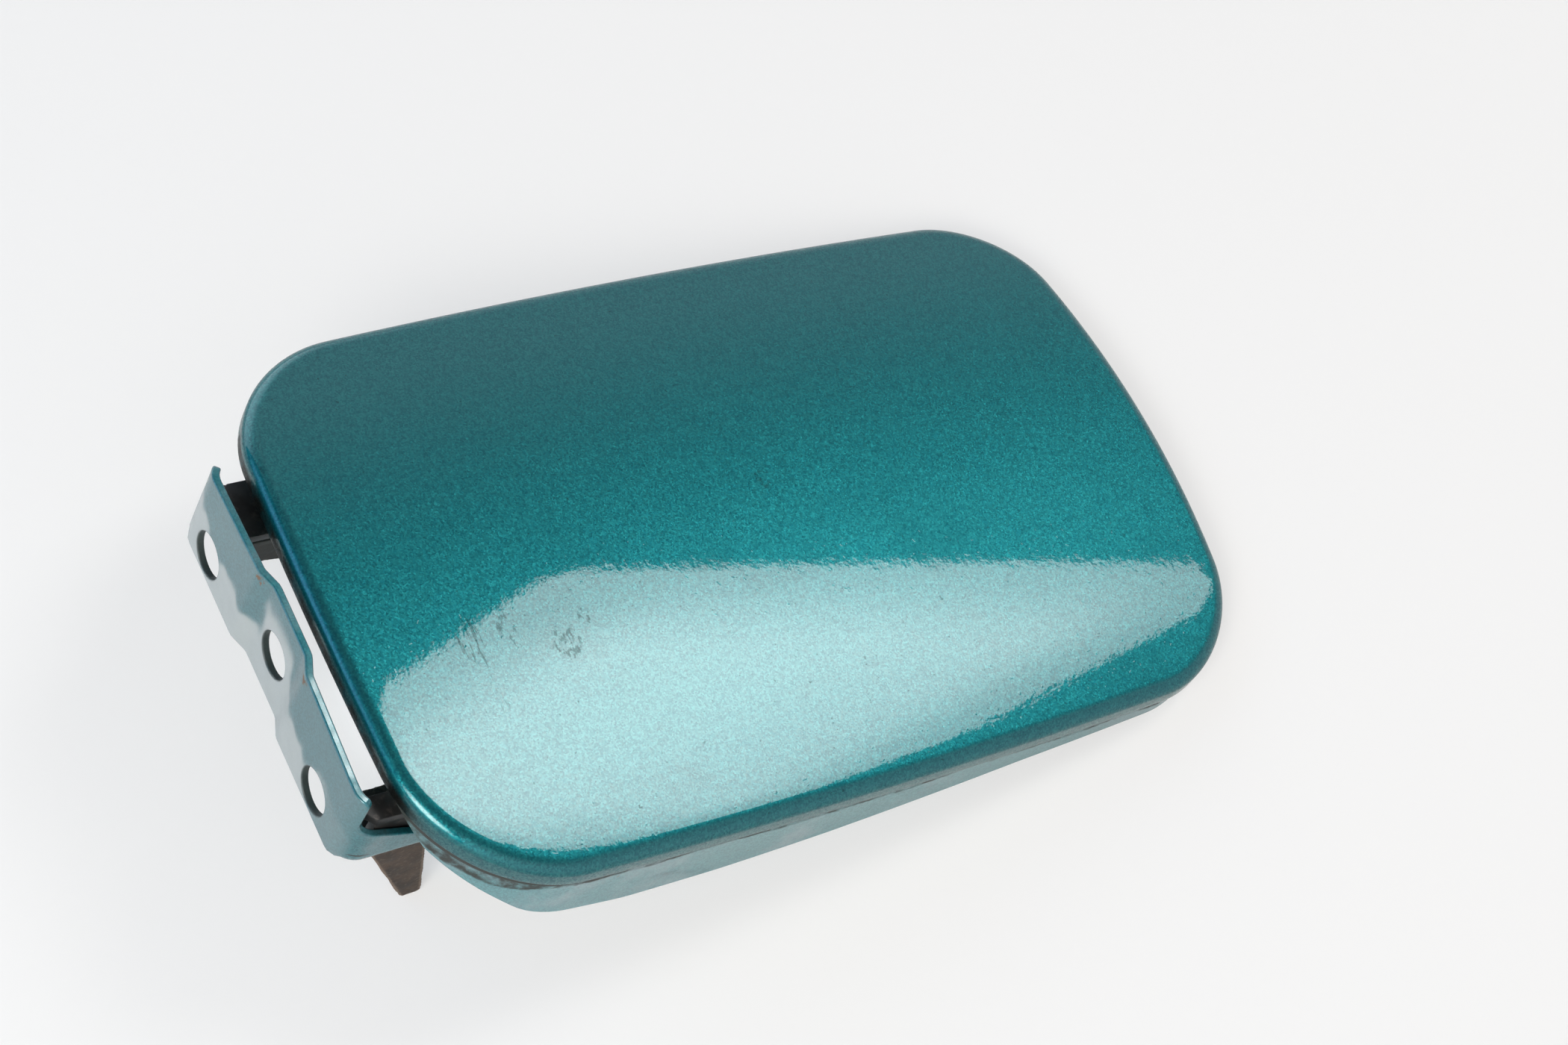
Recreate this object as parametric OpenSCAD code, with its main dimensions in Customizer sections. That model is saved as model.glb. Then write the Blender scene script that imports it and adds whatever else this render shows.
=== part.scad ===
// Hinged fuel filler flap with its bolt-on hinge bracket.
// Everything is drawn lying down, painted face up, and then stood on its
// bolting face: x runs from the bolting face to the free edge, the hinge axis
// runs along y, and the origin is midway between the two bracket bolts.

/* [Flap] */
// Length from the hinge edge to the free edge, at mid height
flap_len = 184; // [150:1:230]
// Width across the hinge axis, at mid length
flap_wid = 114.4; // [90:0.2:150]
// Corner radius, hinge edge, upper
corner_hinge_up = 24; // [16:0.5:34]
// Corner radius, hinge edge, lower
corner_hinge_low = 27; // [16:0.5:34]
// Corner radius, free edge, upper
corner_free_up = 20; // [14:0.5:30]
// Corner radius, free edge, lower
corner_free_low = 22.5; // [14:0.5:30]
// How far the hinge edge bows outward
bow_hinge = 3.7; // [0:0.1:8]
// How far the free edge bows outward
bow_free = 4.8; // [0:0.1:8]
// How far the upper and lower edges bow outward
bow_long = 2.2; // [0:0.1:5]
// Rise of the crown across the width
crown = 5; // [1:0.5:9]
// Rise of the crown along the length
crown_long = 0.4; // [0:0.1:2]
// Radius of the rolled rim
rim_r = 2; // [1.5:0.25:4]
// Depth of the rim below the crown
rim_depth = 5; // [4.4:0.1:7]
// Thickness of the outer sheet
skin_t = 0.8; // [0.6:0.1:1.2]

/* [Inner panel] */
// Thickness of the inner sheet
panel_t = 0.9; // [0.6:0.1:1.2]
// Underside of the flat floor, below the top of the crown
floor_drop = 9.6; // [9:0.1:14]
// Width of the raised border round the floor
border_w = 8; // [5:0.5:12]
// Run of the sloping wall between border and floor
wall_run = 4; // [2:0.5:8]
// Extra depth of the lower edge flange at its deepest
flange_drop = 14.8; // [6:0.2:17]
// Distance from the hinge edge to the flange's deepest point
flange_peak = 42; // [36:1:70]
// Height of the stiffening beads
bead_h = 2; // [1:0.25:3]

/* [Bracket] */
// Gap from the bolting face to the flap's hinge edge
edge_gap = 6.5; // [5:0.25:12]
// Depth of the bolt line below the top of the crown
bolt_drop = 16.8; // [15:0.1:20]
// Thickness of the bracket sheet
bracket_t = 1.5; // [1.2:0.1:2]
// Reach of the lower ear below the bolt line's middle
ear_low = 36.9; // [33:0.1:45]
// Reach of the upper ear above the bolt line's middle
ear_up = 34.8; // [33:0.1:45]
// Height of the plate above the bolt line
plate_top = 16.3; // [13:0.1:18]
// Height of the plate below the bolt line
plate_bottom = 5.2; // [5:0.1:8]
// Fall of the plate's top edge from the middle to the ears
top_sag = 1.4; // [0:0.1:3]
// Outer bend radius of the bracket
bend_r = 5; // [4:0.5:7]
// Spacing of the two bolt holes
bolt_pitch = 48; // [40:0.5:54]
// Diameter of the bracket holes
hole_d = 8.6; // [6:0.1:9]
// Depth of the joggle in the middle of the plate
joggle = 1.4; // [0.5:0.1:2.5]
// Half length of the joggled middle
joggle_half = 6.4; // [5:0.1:8]
// Run of each joggle ramp
joggle_run = 4.4; // [3:0.1:6]
// Rise of the middle hole above the bolt line
middle_rise = 4.8; // [0:0.1:6]

/* [Hinge] */
// Distance of the hinge axis from the bolting face
pivot_x = 20.5; // [19:0.5:26]
// Height of the hinge axis above the bolt line
pivot_z = 0.3; // [0:0.1:1.5]
// Diameter of the pivot rivets
pivot_d = 6; // [5:0.25:7]
// Radial clearance of the pivots in the arms
pivot_gap = 0.05; // [0.02:0.01:0.1]
// Thickness of the arms
arm_t = 2; // [1.5:0.1:2.5]
// Width of the upper arm's tail
tail_w_up = 11.3; // [9:0.1:14]
// Width of the lower arm's tail
tail_w_low = 4.7; // [3.5:0.1:10]
// Side play between ear and arm
side_gap = 0.2; // [0.1:0.05:0.4]

/* [Stops and catch] */
// Reach of the lower ledge from the outer face of its ear
ledge_low = 11.3; // [9:0.1:14]
// Reach of the upper ledge from the outer face of its ear
ledge_up = 8.6; // [8:0.1:14]
// Length of the lower buffer's tail below its ledge
tail_low = 26.6; // [10:0.2:28]
// Length of the upper buffer's tail below its ledge
tail_up = 12; // [10:0.2:28]
// Gap between an arm and its buffer, flap open
stop_gap = 0.3; // [0.2:0.05:0.6]
// Distance of the catch's foot from the free edge
catch_in = 51; // [46:0.5:54]
// Room between the panel and the catch's tongue
catch_gap = 5; // [4.4:0.1:6]
// Reach of the catch's tongue past its foot
catch_reach = 11; // [8:0.5:14]
// Height of the free edge buffers
edge_buffer_h = 3.8; // [3:0.1:8]
// Diameter of the free edge buffers
edge_buffer_d = 10; // [8:0.5:14]

/* [Hidden] */
$fn = 48;

half_len = flap_len / 2;
half_wid = flap_wid / 2;
flap_x = edge_gap + half_len;
floor_z = bolt_drop - floor_drop;
floor_top = floor_z + panel_t;
ear_r = pivot_z + plate_bottom;
low_inner = -ear_low + bracket_t;
up_inner = ear_up - bracket_t;
arc_steps = 9;
side_steps = 9;
end_steps = 6;

// An arc in the plane, as a list of points.
function arc(c, r, from, to, n) =
  [for (i = [0 : n]) let (a = from + (to - from) * i / n)
    [c.x + r * cos(a), c.y + r * sin(a)]];

// Points strictly between two ends of a straight stretch.
function between(p, q, n) = [for (i = [1 : n - 1]) p + (q - p) * i / n];

// The flap's outline before its edges are bowed: a rectangle with its own
// radius at each corner, anticlockwise from the free edge.
function corner(sx, sy, r, from) =
  arc([sx * (half_len - r), sy * (half_wid - r)], r, from, from + 90, arc_steps);
function side(p, q, n) = between(p, q, n);
free_up = corner(1, 1, corner_free_up, 0);
hinge_up = corner(-1, 1, corner_hinge_up, 90);
hinge_low = corner(-1, -1, corner_hinge_low, 180);
free_low = corner(1, -1, corner_free_low, 270);
straight_outline = concat(
  free_up, side(free_up[arc_steps], hinge_up[0], side_steps),
  hinge_up, side(hinge_up[arc_steps], hinge_low[0], end_steps),
  hinge_low, side(hinge_low[arc_steps], free_low[0], side_steps),
  free_low, side(free_low[arc_steps], free_up[0], end_steps));

// Each edge bows: points give way towards the corners.
function bowed(p) =
  let (end_bow = p.x > 0 ? bow_free : bow_hinge)
  [p.x * (1 - end_bow / half_len * pow(p.y / half_wid, 2)),
   p.y * (1 - bow_long / half_wid * pow(p.x / half_len, 2))];
outline = [for (p = straight_outline) bowed(p)];
count = len(outline);
function turn(i) = (i + count) % count;
function inward(i) =
  let (d = outline[turn(i + 1)] - outline[turn(i - 1)])
  [-d.y, d.x] / norm(d);
inwards = [for (i = [0 : count - 1]) inward(i)];

// Height of the crowned surface at a point of the plan.
function crown_z(p) = bolt_drop
  - crown * pow(p.y / half_wid, 2) - crown_long * pow(p.x / half_len, 2);

// One ring of points: the outline moved in, shrunk and lowered.
function inset_xy(i, inset, shrink) = (outline[i] + inwards[i] * inset) * shrink;
function crown_ring(inset, drop, shrink = 1) =
  [for (i = [0 : count - 1]) let (p = inset_xy(i, inset, shrink))
    [p.x, p.y, crown_z(p) - drop]];
function flat_ring(inset, z, shrink = 1) =
  [for (i = [0 : count - 1]) let (p = inset_xy(i, inset, shrink)) [p.x, p.y, z]];

// A closed body from rings that run from one axis point to another.
module ring_body(rings, start, end) {
  n = len(rings);
  last = n * count;
  points = concat([for (r = rings) each r], [start, end]);
  walls = [for (k = [0 : n - 2]) for (i = [0 : count - 1])
    let (a = k * count + i, b = k * count + turn(i + 1))
    each [[a, b, a + count], [b, b + count, a + count]]];
  caps = [for (i = [0 : count - 1])
    each [[last, turn(i + 1), i],
      [last + 1, last - count + i, last - count + turn(i + 1)]]];
  polyhedron(points, concat(walls, caps), convexity = 6);
}

roll = [90, 66, 44, 22, 0];
shrinks = [0.3, 0.6, 0.85];
wall_drop = rim_r + 0.3;

// Painted outer pressing: crowned sheet with a rolled rim all round.
module skin_shape() {
  outer_top = [for (s = shrinks) crown_ring(rim_r, 0, s)];
  outer_roll = [for (a = roll)
    crown_ring(rim_r * (1 - cos(a)), rim_r * (1 - sin(a)))];
  bare_r = rim_r - skin_t;
  inner_roll = [for (i = [len(roll) - 1 : -1 : 0]) let (a = roll[i])
    crown_ring(rim_r - bare_r * cos(a), rim_r - bare_r * sin(a))];
  inner_top = [for (i = [len(shrinks) - 1 : -1 : 0])
    crown_ring(rim_r, skin_t, shrinks[i])];
  ring_body(concat(outer_top, outer_roll, [crown_ring(0, rim_depth)],
    [crown_ring(skin_t, rim_depth)], inner_roll, inner_top),
    [0, 0, bolt_drop], [0, 0, bolt_drop - skin_t]);
}

// Bottom of the panel's edge flange: level with the rim, but much deeper
// along the lower edge, where it peaks and then tapers to the free end.
// Each entry is a place along the flap and a share of the full depth.
flange_line = [[0, 0.22], [10, 0.42], [17, 0.6], [21, 0.76], [30, 0.88],
  [flange_peak, 1], [flange_peak + 20, 0.97], [flap_len * 0.46, 0.85],
  [flap_len * 0.69, 0.52], [flap_len - 22, 0.36], [flap_len - 5, 0]];
flange_start = half_wid - corner_hinge_low;
flange_run = 11;
function flange_extra(p) = flange_drop * lookup(p.x + half_len, flange_line)
  * min(max((-p.y - flange_start) / flange_run, 0), 1);
function flange_ring(inset) =
  [for (i = [0 : count - 1]) let (p = inset_xy(i, inset, 1))
    [p.x, p.y, crown_z(p) - rim_depth - flange_extra(outline[i])]];

module panel_shell() {
  top_z = wall_drop;
  floor_in = skin_t + border_w + wall_run;
  ring_body([
    flat_ring(floor_in, floor_top, 0.5),
    flat_ring(floor_in, floor_top),
    crown_ring(skin_t + border_w, top_z),
    crown_ring(skin_t, top_z),
    flange_ring(skin_t),
    flange_ring(skin_t + panel_t),
    crown_ring(skin_t + panel_t, top_z + panel_t),
    crown_ring(skin_t + border_w, top_z + panel_t),
    flat_ring(floor_in, floor_z),
    flat_ring(floor_in, floor_z, 0.5)],
    [0, 0, floor_top], [0, 0, floor_z]);
}

// A long round-ended prism along x.
module slot(length, width, height) {
  run = length / 2 - width / 2;
  translate([-run, -width / 2, 0]) cube([2 * run, width, height]);
  for (s = [-1, 1]) translate([s * run, 0, 0]) cylinder(d = width, h = height);
}

bead_y = 19;
bead_len = flap_len * 0.42;
bead_w = 11;
row_x = -6;
module bead_sites() {
  for (s = [-1, 1]) translate([row_x, s * bead_y, 0]) children();
}

vent_d = 15;
vent_x = flap_len * 0.14;
catch_x = half_len - catch_in;
buffer_x = half_len - 24;
buffer_y = half_wid - 21;
buffer_neck_d = edge_buffer_d / 2;
arm_rivet_d = 4;
arm_rivet_x = [13, 27];
catch_rivet_y = 9.5;
foot_y = 9;

// Inner pressing: flat floor, raised border and edge flange, with beads.
module panel_shape() {
  difference() {
    union() {
      panel_shell();
      bead_sites() translate([0, 0, floor_z])
        slot(bead_len, bead_w, panel_t + bead_h);
    }
    bead_sites() translate([0, 0, floor_z - 1])
      slot(bead_len - 2 * panel_t, bead_w - 2 * panel_t, bead_h + 1);
    for (x = [-vent_x, 0, vent_x])
      translate([row_x + x, 0, floor_z - 1]) cylinder(d = vent_d, h = panel_t + 2);
    for (s = [-1, 1]) translate([buffer_x, s * buffer_y, floor_z - 1])
      cylinder(d = buffer_neck_d, h = panel_t + 2);
    for (s = [-1, 1]) translate([catch_x, s * catch_rivet_y, floor_z - 1])
      cylinder(d = arm_rivet_d, h = panel_t + 2);
    translate([-flap_x, 0, 0]) arm_rivet_sites()
      translate([0, 0, floor_z - 1]) cylinder(d = arm_rivet_d, h = panel_t + 2);
  }
}

// Where the rivets hold the arms to the panel floor.
module arm_rivet_sites() {
  for (x = arm_rivet_x) {
    translate([pivot_x + x, low_inner + side_gap + arm_t + foot_y, 0]) children();
    translate([pivot_x + x, up_inner - side_gap - arm_t - foot_y, 0]) children();
  }
}

// Plan of the bracket wall: outer face of plate and ears, moved in by t.
ear_reach = pivot_x + ear_r;
function plate_face(t) = [
  [t, -joggle_half - joggle_run], [t + joggle, -joggle_half],
  [t + joggle, joggle_half], [t, joggle_half + joggle_run]];
function wall_face(t) = concat(
  [[ear_reach, -ear_low + t]],
  arc([bend_r, -ear_low + bend_r], bend_r - t, 270, 180, 8),
  plate_face(t),
  arc([bend_r, ear_up - bend_r], bend_r - t, 180, 90, 8),
  [[ear_reach, ear_up - t]]);
function reversed(v) = [for (i = [len(v) - 1 : -1 : 0]) v[i]];

// Side view of the ears: the plate's full height at the bend, a notch behind
// it, and a round boss about the hinge axis.
notch_x = 1.6;
notch_z = 7.6;
notch_r = 2;
neck_r = 1.2;
neck_gap = 1.6;
neck_x = pivot_x - ear_r - neck_gap;
neck_z = pivot_z + 2 * neck_r;
function ear_side() = concat(
  [[-1, -plate_bottom], [pivot_x, -plate_bottom]],
  arc([pivot_x, pivot_z], ear_r, -90, 150, 20),
  arc([neck_x, neck_z], neck_r, -20, -112, 5),
  arc([notch_x + notch_r, notch_z], notch_r, 248, 180, 5),
  [[notch_x, plate_top], [-1, plate_top]]);

module along_y(from, to) {
  translate([0, to, 0]) rotate([90, 0, 0]) linear_extrude(to - from) children();
}

shelf_t = bracket_t;
ledge_in = 0.6;
ledge_out = 3;
shelf_x = [bend_r + ledge_in, pivot_x - ledge_out];
shelf_w = shelf_x[1] - shelf_x[0];
ledge_r = 4;
stop_back = 7;
stop_off = 2.3;
stop_x = shelf_x[0] + stop_back;
stop_neck_r = 2.2;
stop_clear = 0.2;
stop_in = bracket_t + stop_off;
foot_r = 2.2;

// Plan of a ledge between two distances from the outer face of its ear.
module ledge_plan(from, reach) {
  intersection() {
    translate([0, from]) square([shelf_w, reach - from]);
    union() {
      square([shelf_w, reach - ledge_r]);
      translate([ledge_r, 0]) square([shelf_w - 2 * ledge_r, reach]);
      for (x = [ledge_r, shelf_w - ledge_r])
        translate([x, reach - ledge_r]) circle(r = ledge_r);
    }
  }
}

// Ledge turned in from the foot of an ear, from its outer face at y = 0.
module shelf(reach) {
  translate([shelf_x[0], 0, -plate_bottom]) difference() {
    union() {
      linear_extrude(shelf_t) ledge_plan(foot_r, reach);
      translate([0, foot_r, foot_r]) rotate([0, 90, 0]) difference() {
        cylinder(r = foot_r, h = shelf_w);
        translate([0, 0, -1]) cylinder(r = foot_r - bracket_t, h = shelf_w + 2);
        translate([-foot_r - 1, -foot_r - 1, -1]) cube([foot_r + 1, 2 * foot_r + 2, shelf_w + 2]);
        translate([-1, 0, -1]) cube([foot_r + 2, foot_r + 1, shelf_w + 2]);
      }
    }
    translate([stop_x - shelf_x[0], stop_in, -1])
      cylinder(r = stop_neck_r, h = shelf_t + 2);
  }
}
module at_lower_ear() { translate([0, -ear_low, 0]) children(); }
module at_upper_ear() { translate([0, ear_up, 0]) mirror([0, 1, 0]) children(); }

// What comes off the plate's top edge between the middle and the ears.
module top_falls() {
  level_y = joggle_half + joggle_run;
  low_y = up_inner - bend_r;
  for (s = [0, 1]) mirror([0, s, 0]) translate([-1, 0, 0])
    rotate([90, 0, 90]) linear_extrude(ear_reach + 2)
      polygon([[level_y, plate_top], [low_y, plate_top - top_sag],
        [ear_low + 5, plate_top - top_sag], [ear_low + 5, plate_top + 2],
        [level_y, plate_top + 2]]);
}

// Bolt-on bracket: plate with a joggled middle, two ears and their ledges.
module bracket_shape() {
  difference() {
    intersection() {
      translate([0, 0, -plate_bottom])
        linear_extrude(plate_bottom + plate_top)
          polygon(concat(wall_face(0), reversed(wall_face(bracket_t))));
      along_y(-ear_low - 1, ear_up + 1) polygon(ear_side());
    }
    for (s = [-1, 1])
      translate([-1, s * bolt_pitch / 2, 0]) rotate([0, 90, 0])
        cylinder(d = hole_d, h = bracket_t + 2);
    translate([-1, 0, middle_rise]) rotate([0, 90, 0])
      cylinder(d = hole_d, h = bracket_t + joggle + 2);
    top_falls();
    translate([pivot_x, -ear_low - 1, pivot_z]) rotate([-90, 0, 0])
      cylinder(d = pivot_d, h = ear_low + ear_up + 2);
    translate([shelf_x[0], -ear_low - 1, -plate_bottom - 1])
      cube([shelf_w, ear_low + ear_up + 2, foot_r + 1]);
  }
  at_lower_ear() shelf(ledge_low);
  at_upper_ear() shelf(ledge_up);
}

// Side view of an arm: boss on the hinge axis, web towards the bolting face.
arm_boss_r = 4.6;
arm_drop = 7.9;
arm_web_len = 15;
arm_tail_r = 2;
tail_corner = 3.6;
tail_gap = 0.8;
web_gap = 0.5;
tail_end_x = bracket_t + tail_gap;
web_end_x = bend_r + web_gap;
tail_bottom = floor_z - arm_drop;
foot_gap = 5;
foot_len = 26;
foot_w = 16;
foot_x = pivot_x + foot_gap;
boss_start = 180 + asin((pivot_z - tail_bottom) / arm_boss_r);
function arm_side() = concat(
  [[web_end_x, floor_z]],
  arc([web_end_x + arm_tail_r, tail_bottom + arm_tail_r], arm_tail_r, 180, 270, 5),
  arc([pivot_x, pivot_z], arm_boss_r, boss_start, 345, 16),
  [[pivot_x + arm_web_len, floor_z - arm_t], [pivot_x + arm_web_len, floor_z]]);

// Pressed arm: upright web on the pivot, tail and rivet foot turned from it.
// The web stands on y = 0 and everything is turned towards +y.
module arm_shape(tail_w) {
  difference() {
    union() {
      along_y(0, arm_t) polygon(arm_side());
      translate([0, 0, floor_z - arm_t]) linear_extrude(arm_t)
        polygon([[foot_x + 1, 0], [foot_x + 1, tail_w], [tail_end_x, tail_w],
          [tail_end_x, tail_corner], [web_end_x, 0]]);
      translate([foot_x, 0, floor_z - arm_t])
        cube([foot_len, foot_w, arm_t]);
    }
    translate([pivot_x, -1, pivot_z]) rotate([-90, 0, 0])
      cylinder(r = pivot_d / 2 + pivot_gap, h = arm_t + 2);
    for (x = arm_rivet_x)
      translate([pivot_x + x, arm_t + foot_y, floor_z - arm_t - 1])
        cylinder(d = arm_rivet_d, h = arm_t + 2);
  }
}

// Shoulder rivet along +y, from its outer head at y = 0.
rivet_tail_t = 1.4;
module pivot_rivet() {
  head_t = 1.6;
  grip = bracket_t + side_gap + arm_t + side_gap;
  rotate([-90, 0, 0]) {
    translate([0, 0, -head_t])
      cylinder(d1 = pivot_d + 1, d2 = pivot_d + 3, h = head_t);
    cylinder(d = pivot_d, h = grip);
    translate([0, 0, grip]) cylinder(d = pivot_d + 2, h = rivet_tail_t);
  }
}

// Flat rivet along z that holds a stack from z = 0 down to -grip.
module flat_rivet(grip, d) {
  head_t = 0.9;
  tail_t = 1.1;
  translate([0, 0, -grip]) cylinder(d = d, h = grip);
  cylinder(d = 1.6 * d, h = head_t);
  translate([0, 0, -grip - tail_t]) cylinder(d1 = 1.3 * d, d2 = 1.8 * d, h = tail_t);
}

// Pull-through rubber buffer: a pad that covers its ledge up to the arm's boss
// and the rivet, and a tapered tail below. The origin is on the ledge's top face
// at the neck.
stop_t = 4;
stop_half_w = 5.8;
stop_tip = 0.8;
pad_start = foot_r + stop_clear / 2;
pad_step_x = pivot_x - arm_boss_r - stop_clear - shelf_x[0];
pad_step_y = bracket_t + 2 * side_gap + arm_t + rivet_tail_t + stop_clear;
function tail_side(tail) =
  let (near = 0.25 * tail, far = 0.52 * tail)
  [[-stop_half_w, 0], [stop_half_w, 0],
   [stop_half_w + near, -tail + stop_tip],
   [stop_half_w - stop_tip + near, -tail],
   [-stop_half_w + stop_tip + far, -tail],
   [-stop_half_w + far, -tail + stop_tip]];
module buffer_shape(reach, tail) {
  pad_h = tail_bottom - stop_gap + plate_bottom - shelf_t;
  cylinder(r = stop_neck_r, h = 2 * shelf_t, center = true);
  translate([shelf_x[0] - stop_x, -stop_in, 0]) linear_extrude(pad_h) difference() {
    ledge_plan(pad_start, reach);
    translate([pad_step_x, 0]) square([shelf_w, pad_step_y]);
  }
  translate([0, -stop_t / 2, -shelf_t])
    along_y(0, stop_t) polygon(tail_side(tail));
}

// Catch: a foot on the panel floor, a step down and a round-ended tongue that
// the lock's bolt slides behind. The origin is on the floor's underside.
catch_t = 1.6;
catch_foot_l = 14;
catch_foot_w = 28;
tongue_w = 11;
module catch_shape() {
  step_x = catch_foot_l / 2 - catch_t;
  tongue_end = catch_foot_l / 2 + catch_reach;
  difference() {
    union() {
      translate([-catch_foot_l / 2, -catch_foot_w / 2, -catch_t])
        cube([catch_foot_l, catch_foot_w, catch_t]);
      translate([step_x, -tongue_w / 2, -catch_gap - catch_t])
        cube([catch_t, tongue_w, catch_gap + catch_t]);
      translate([step_x, -tongue_w / 2, -catch_gap - catch_t])
        cube([tongue_end - step_x - tongue_w / 2, tongue_w, catch_t]);
      translate([tongue_end - tongue_w / 2, 0, -catch_gap - catch_t])
        cylinder(d = tongue_w, h = catch_t);
    }
    for (s = [-1, 1]) translate([0, s * catch_rivet_y, -catch_t - 1])
      cylinder(d = arm_rivet_d, h = catch_t + 2);
  }
}

// Rubber buffer pushed up through the floor, its origin on the underside.
module edge_buffer() {
  taper = 1.5;
  barb_h = 1.4;
  translate([0, 0, -edge_buffer_h])
    cylinder(d1 = edge_buffer_d - 2 * taper, d2 = edge_buffer_d, h = edge_buffer_h);
  cylinder(d = buffer_neck_d, h = panel_t);
  translate([0, 0, panel_t])
    cylinder(d1 = edge_buffer_d * 0.75, d2 = buffer_neck_d, h = barb_h);
}

// Stands the lying parts on the bolting face, painted side to the front.
module stand() { rotate([90, 0, 0]) children(); }
module on_flap() { translate([flap_x, 0, 0]) children(); }

module outer_skin() {
  color([0.03, 0.42, 0.45]) stand() on_flap() skin_shape();
}
module inner_panel() {
  color([0.05, 0.38, 0.41]) stand() on_flap() panel_shape();
}
module hinge_bracket() {
  color([0.08, 0.45, 0.48]) stand() bracket_shape();
}
module hinge_arm_upper() {
  color([0.08, 0.08, 0.09]) stand() at_upper_ear()
    translate([0, bracket_t + side_gap, 0]) arm_shape(tail_w_up);
}
module hinge_arm_lower() {
  color([0.08, 0.08, 0.09]) stand() at_lower_ear()
    translate([0, bracket_t + side_gap, 0]) arm_shape(tail_w_low);
}
module pivot_rivets() {
  color([0.55, 0.55, 0.53]) stand() {
    at_lower_ear() translate([pivot_x, 0, pivot_z]) pivot_rivet();
    at_upper_ear() translate([pivot_x, 0, pivot_z]) pivot_rivet();
  }
}
module arm_rivets() {
  color([0.6, 0.6, 0.58]) stand() arm_rivet_sites()
    translate([0, 0, floor_top]) flat_rivet(panel_t + arm_t, arm_rivet_d);
}
module stop_buffer_upper() {
  color([0.16, 0.13, 0.12]) stand() at_upper_ear()
    translate([stop_x, stop_in, shelf_t - plate_bottom]) buffer_shape(ledge_up, tail_up);
}
module stop_buffer_lower() {
  color([0.16, 0.13, 0.12]) stand() at_lower_ear()
    translate([stop_x, stop_in, shelf_t - plate_bottom]) buffer_shape(ledge_low, tail_low);
}
module catch_hook() {
  color([0.65, 0.62, 0.5]) stand() on_flap()
    translate([catch_x, 0, floor_z]) catch_shape();
}
module catch_rivets() {
  color([0.6, 0.6, 0.58]) stand() on_flap() for (s = [-1, 1])
    translate([catch_x, s * catch_rivet_y, floor_top])
      flat_rivet(panel_t + catch_t, arm_rivet_d);
}
module edge_buffer_upper() {
  color([0.1, 0.1, 0.1]) stand() on_flap()
    translate([buffer_x, buffer_y, floor_z]) edge_buffer();
}
module edge_buffer_lower() {
  color([0.1, 0.1, 0.1]) stand() on_flap()
    translate([buffer_x, -buffer_y, floor_z]) edge_buffer();
}

outer_skin();
inner_panel();
hinge_bracket();
hinge_arm_upper();
hinge_arm_lower();
pivot_rivets();
arm_rivets();
stop_buffer_upper();
stop_buffer_lower();
catch_hook();
catch_rivets();
edge_buffer_upper();
edge_buffer_lower();
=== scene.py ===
import math

import bmesh
import bpy
from mathutils import Matrix, Vector, geometry, noise


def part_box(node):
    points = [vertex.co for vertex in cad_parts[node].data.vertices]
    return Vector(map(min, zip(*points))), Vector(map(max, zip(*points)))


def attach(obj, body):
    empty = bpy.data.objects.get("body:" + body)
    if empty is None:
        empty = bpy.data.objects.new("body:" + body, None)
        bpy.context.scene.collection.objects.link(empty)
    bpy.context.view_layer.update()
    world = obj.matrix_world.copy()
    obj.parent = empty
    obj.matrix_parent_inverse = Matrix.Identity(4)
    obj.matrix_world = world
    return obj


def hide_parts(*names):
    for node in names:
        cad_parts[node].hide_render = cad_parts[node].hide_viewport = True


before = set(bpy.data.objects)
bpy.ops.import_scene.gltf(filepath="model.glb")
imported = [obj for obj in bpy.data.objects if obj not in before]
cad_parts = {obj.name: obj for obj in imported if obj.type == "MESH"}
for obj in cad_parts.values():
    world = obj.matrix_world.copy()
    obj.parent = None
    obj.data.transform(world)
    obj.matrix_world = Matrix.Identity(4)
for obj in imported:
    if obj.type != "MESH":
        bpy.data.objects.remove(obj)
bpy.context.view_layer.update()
print("frame loaded:", len(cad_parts), "nodes")

# Shapes are worked out lying down, painted face up, in millimetres: x from the
# bolting face to the free edge, y along the hinge axis, z out of the paint.
mm = 0.001


def stand(x, y, z):
    return Vector((x * mm, -z * mm, y * mm))


# ways of making a piece
def addObject(name, data):
    made = bpy.data.objects.new(name, data)
    bpy.context.scene.collection.objects.link(made)
    return made


# Joins points that coincide and, given an angle, triangles that lie flat.
def cleanMesh(mesh, gap, flat=None):
    shape = bmesh.new()
    shape.from_mesh(mesh)
    bmesh.ops.remove_doubles(shape, verts=shape.verts, dist=gap * mm)
    if flat:
        bmesh.ops.dissolve_limit(
            shape, angle_limit=math.radians(flat), verts=shape.verts, edges=shape.edges)
    shape.to_mesh(mesh)
    shape.free()


def formPiece(name, points, faces, *rest):
    mesh = bpy.data.meshes.new(name)
    mesh.from_pydata([stand(*p) for p in points], [], faces)
    cleanMesh(mesh, 0.004)
    return addPiece(name, mesh, *rest)


def addPiece(name, mesh, material, body, slot, *nodes):
    piece = addObject(name, mesh)
    mesh.materials.clear()
    mesh.materials.append(material)
    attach(piece, body)
    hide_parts(*nodes)
    return piece


def settle(piece):
    bpy.context.view_layer.update()
    graph = bpy.context.evaluated_depsgraph_get()
    shape = bpy.data.meshes.new_from_object(
        piece.evaluated_get(graph), preserve_all_data_layers=True, depsgraph=graph)
    piece.modifiers.clear()
    piece.data = shape


def smooth(piece):
    mesh = piece.data
    mesh.polygons.foreach_set("use_smooth", [True] * len(mesh.polygons))


# Gives a single sheet its thickness and eases its cut edges.
def thicken(piece, thickness, edge, clamped):
    smooth(piece)
    solid = piece.modifiers.new("thickness", "SOLIDIFY")
    solid.thickness = thickness * mm
    solid.offset = -1
    solid.use_even_offset = True
    easeEdges(piece, edge, 50, clamped)


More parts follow.
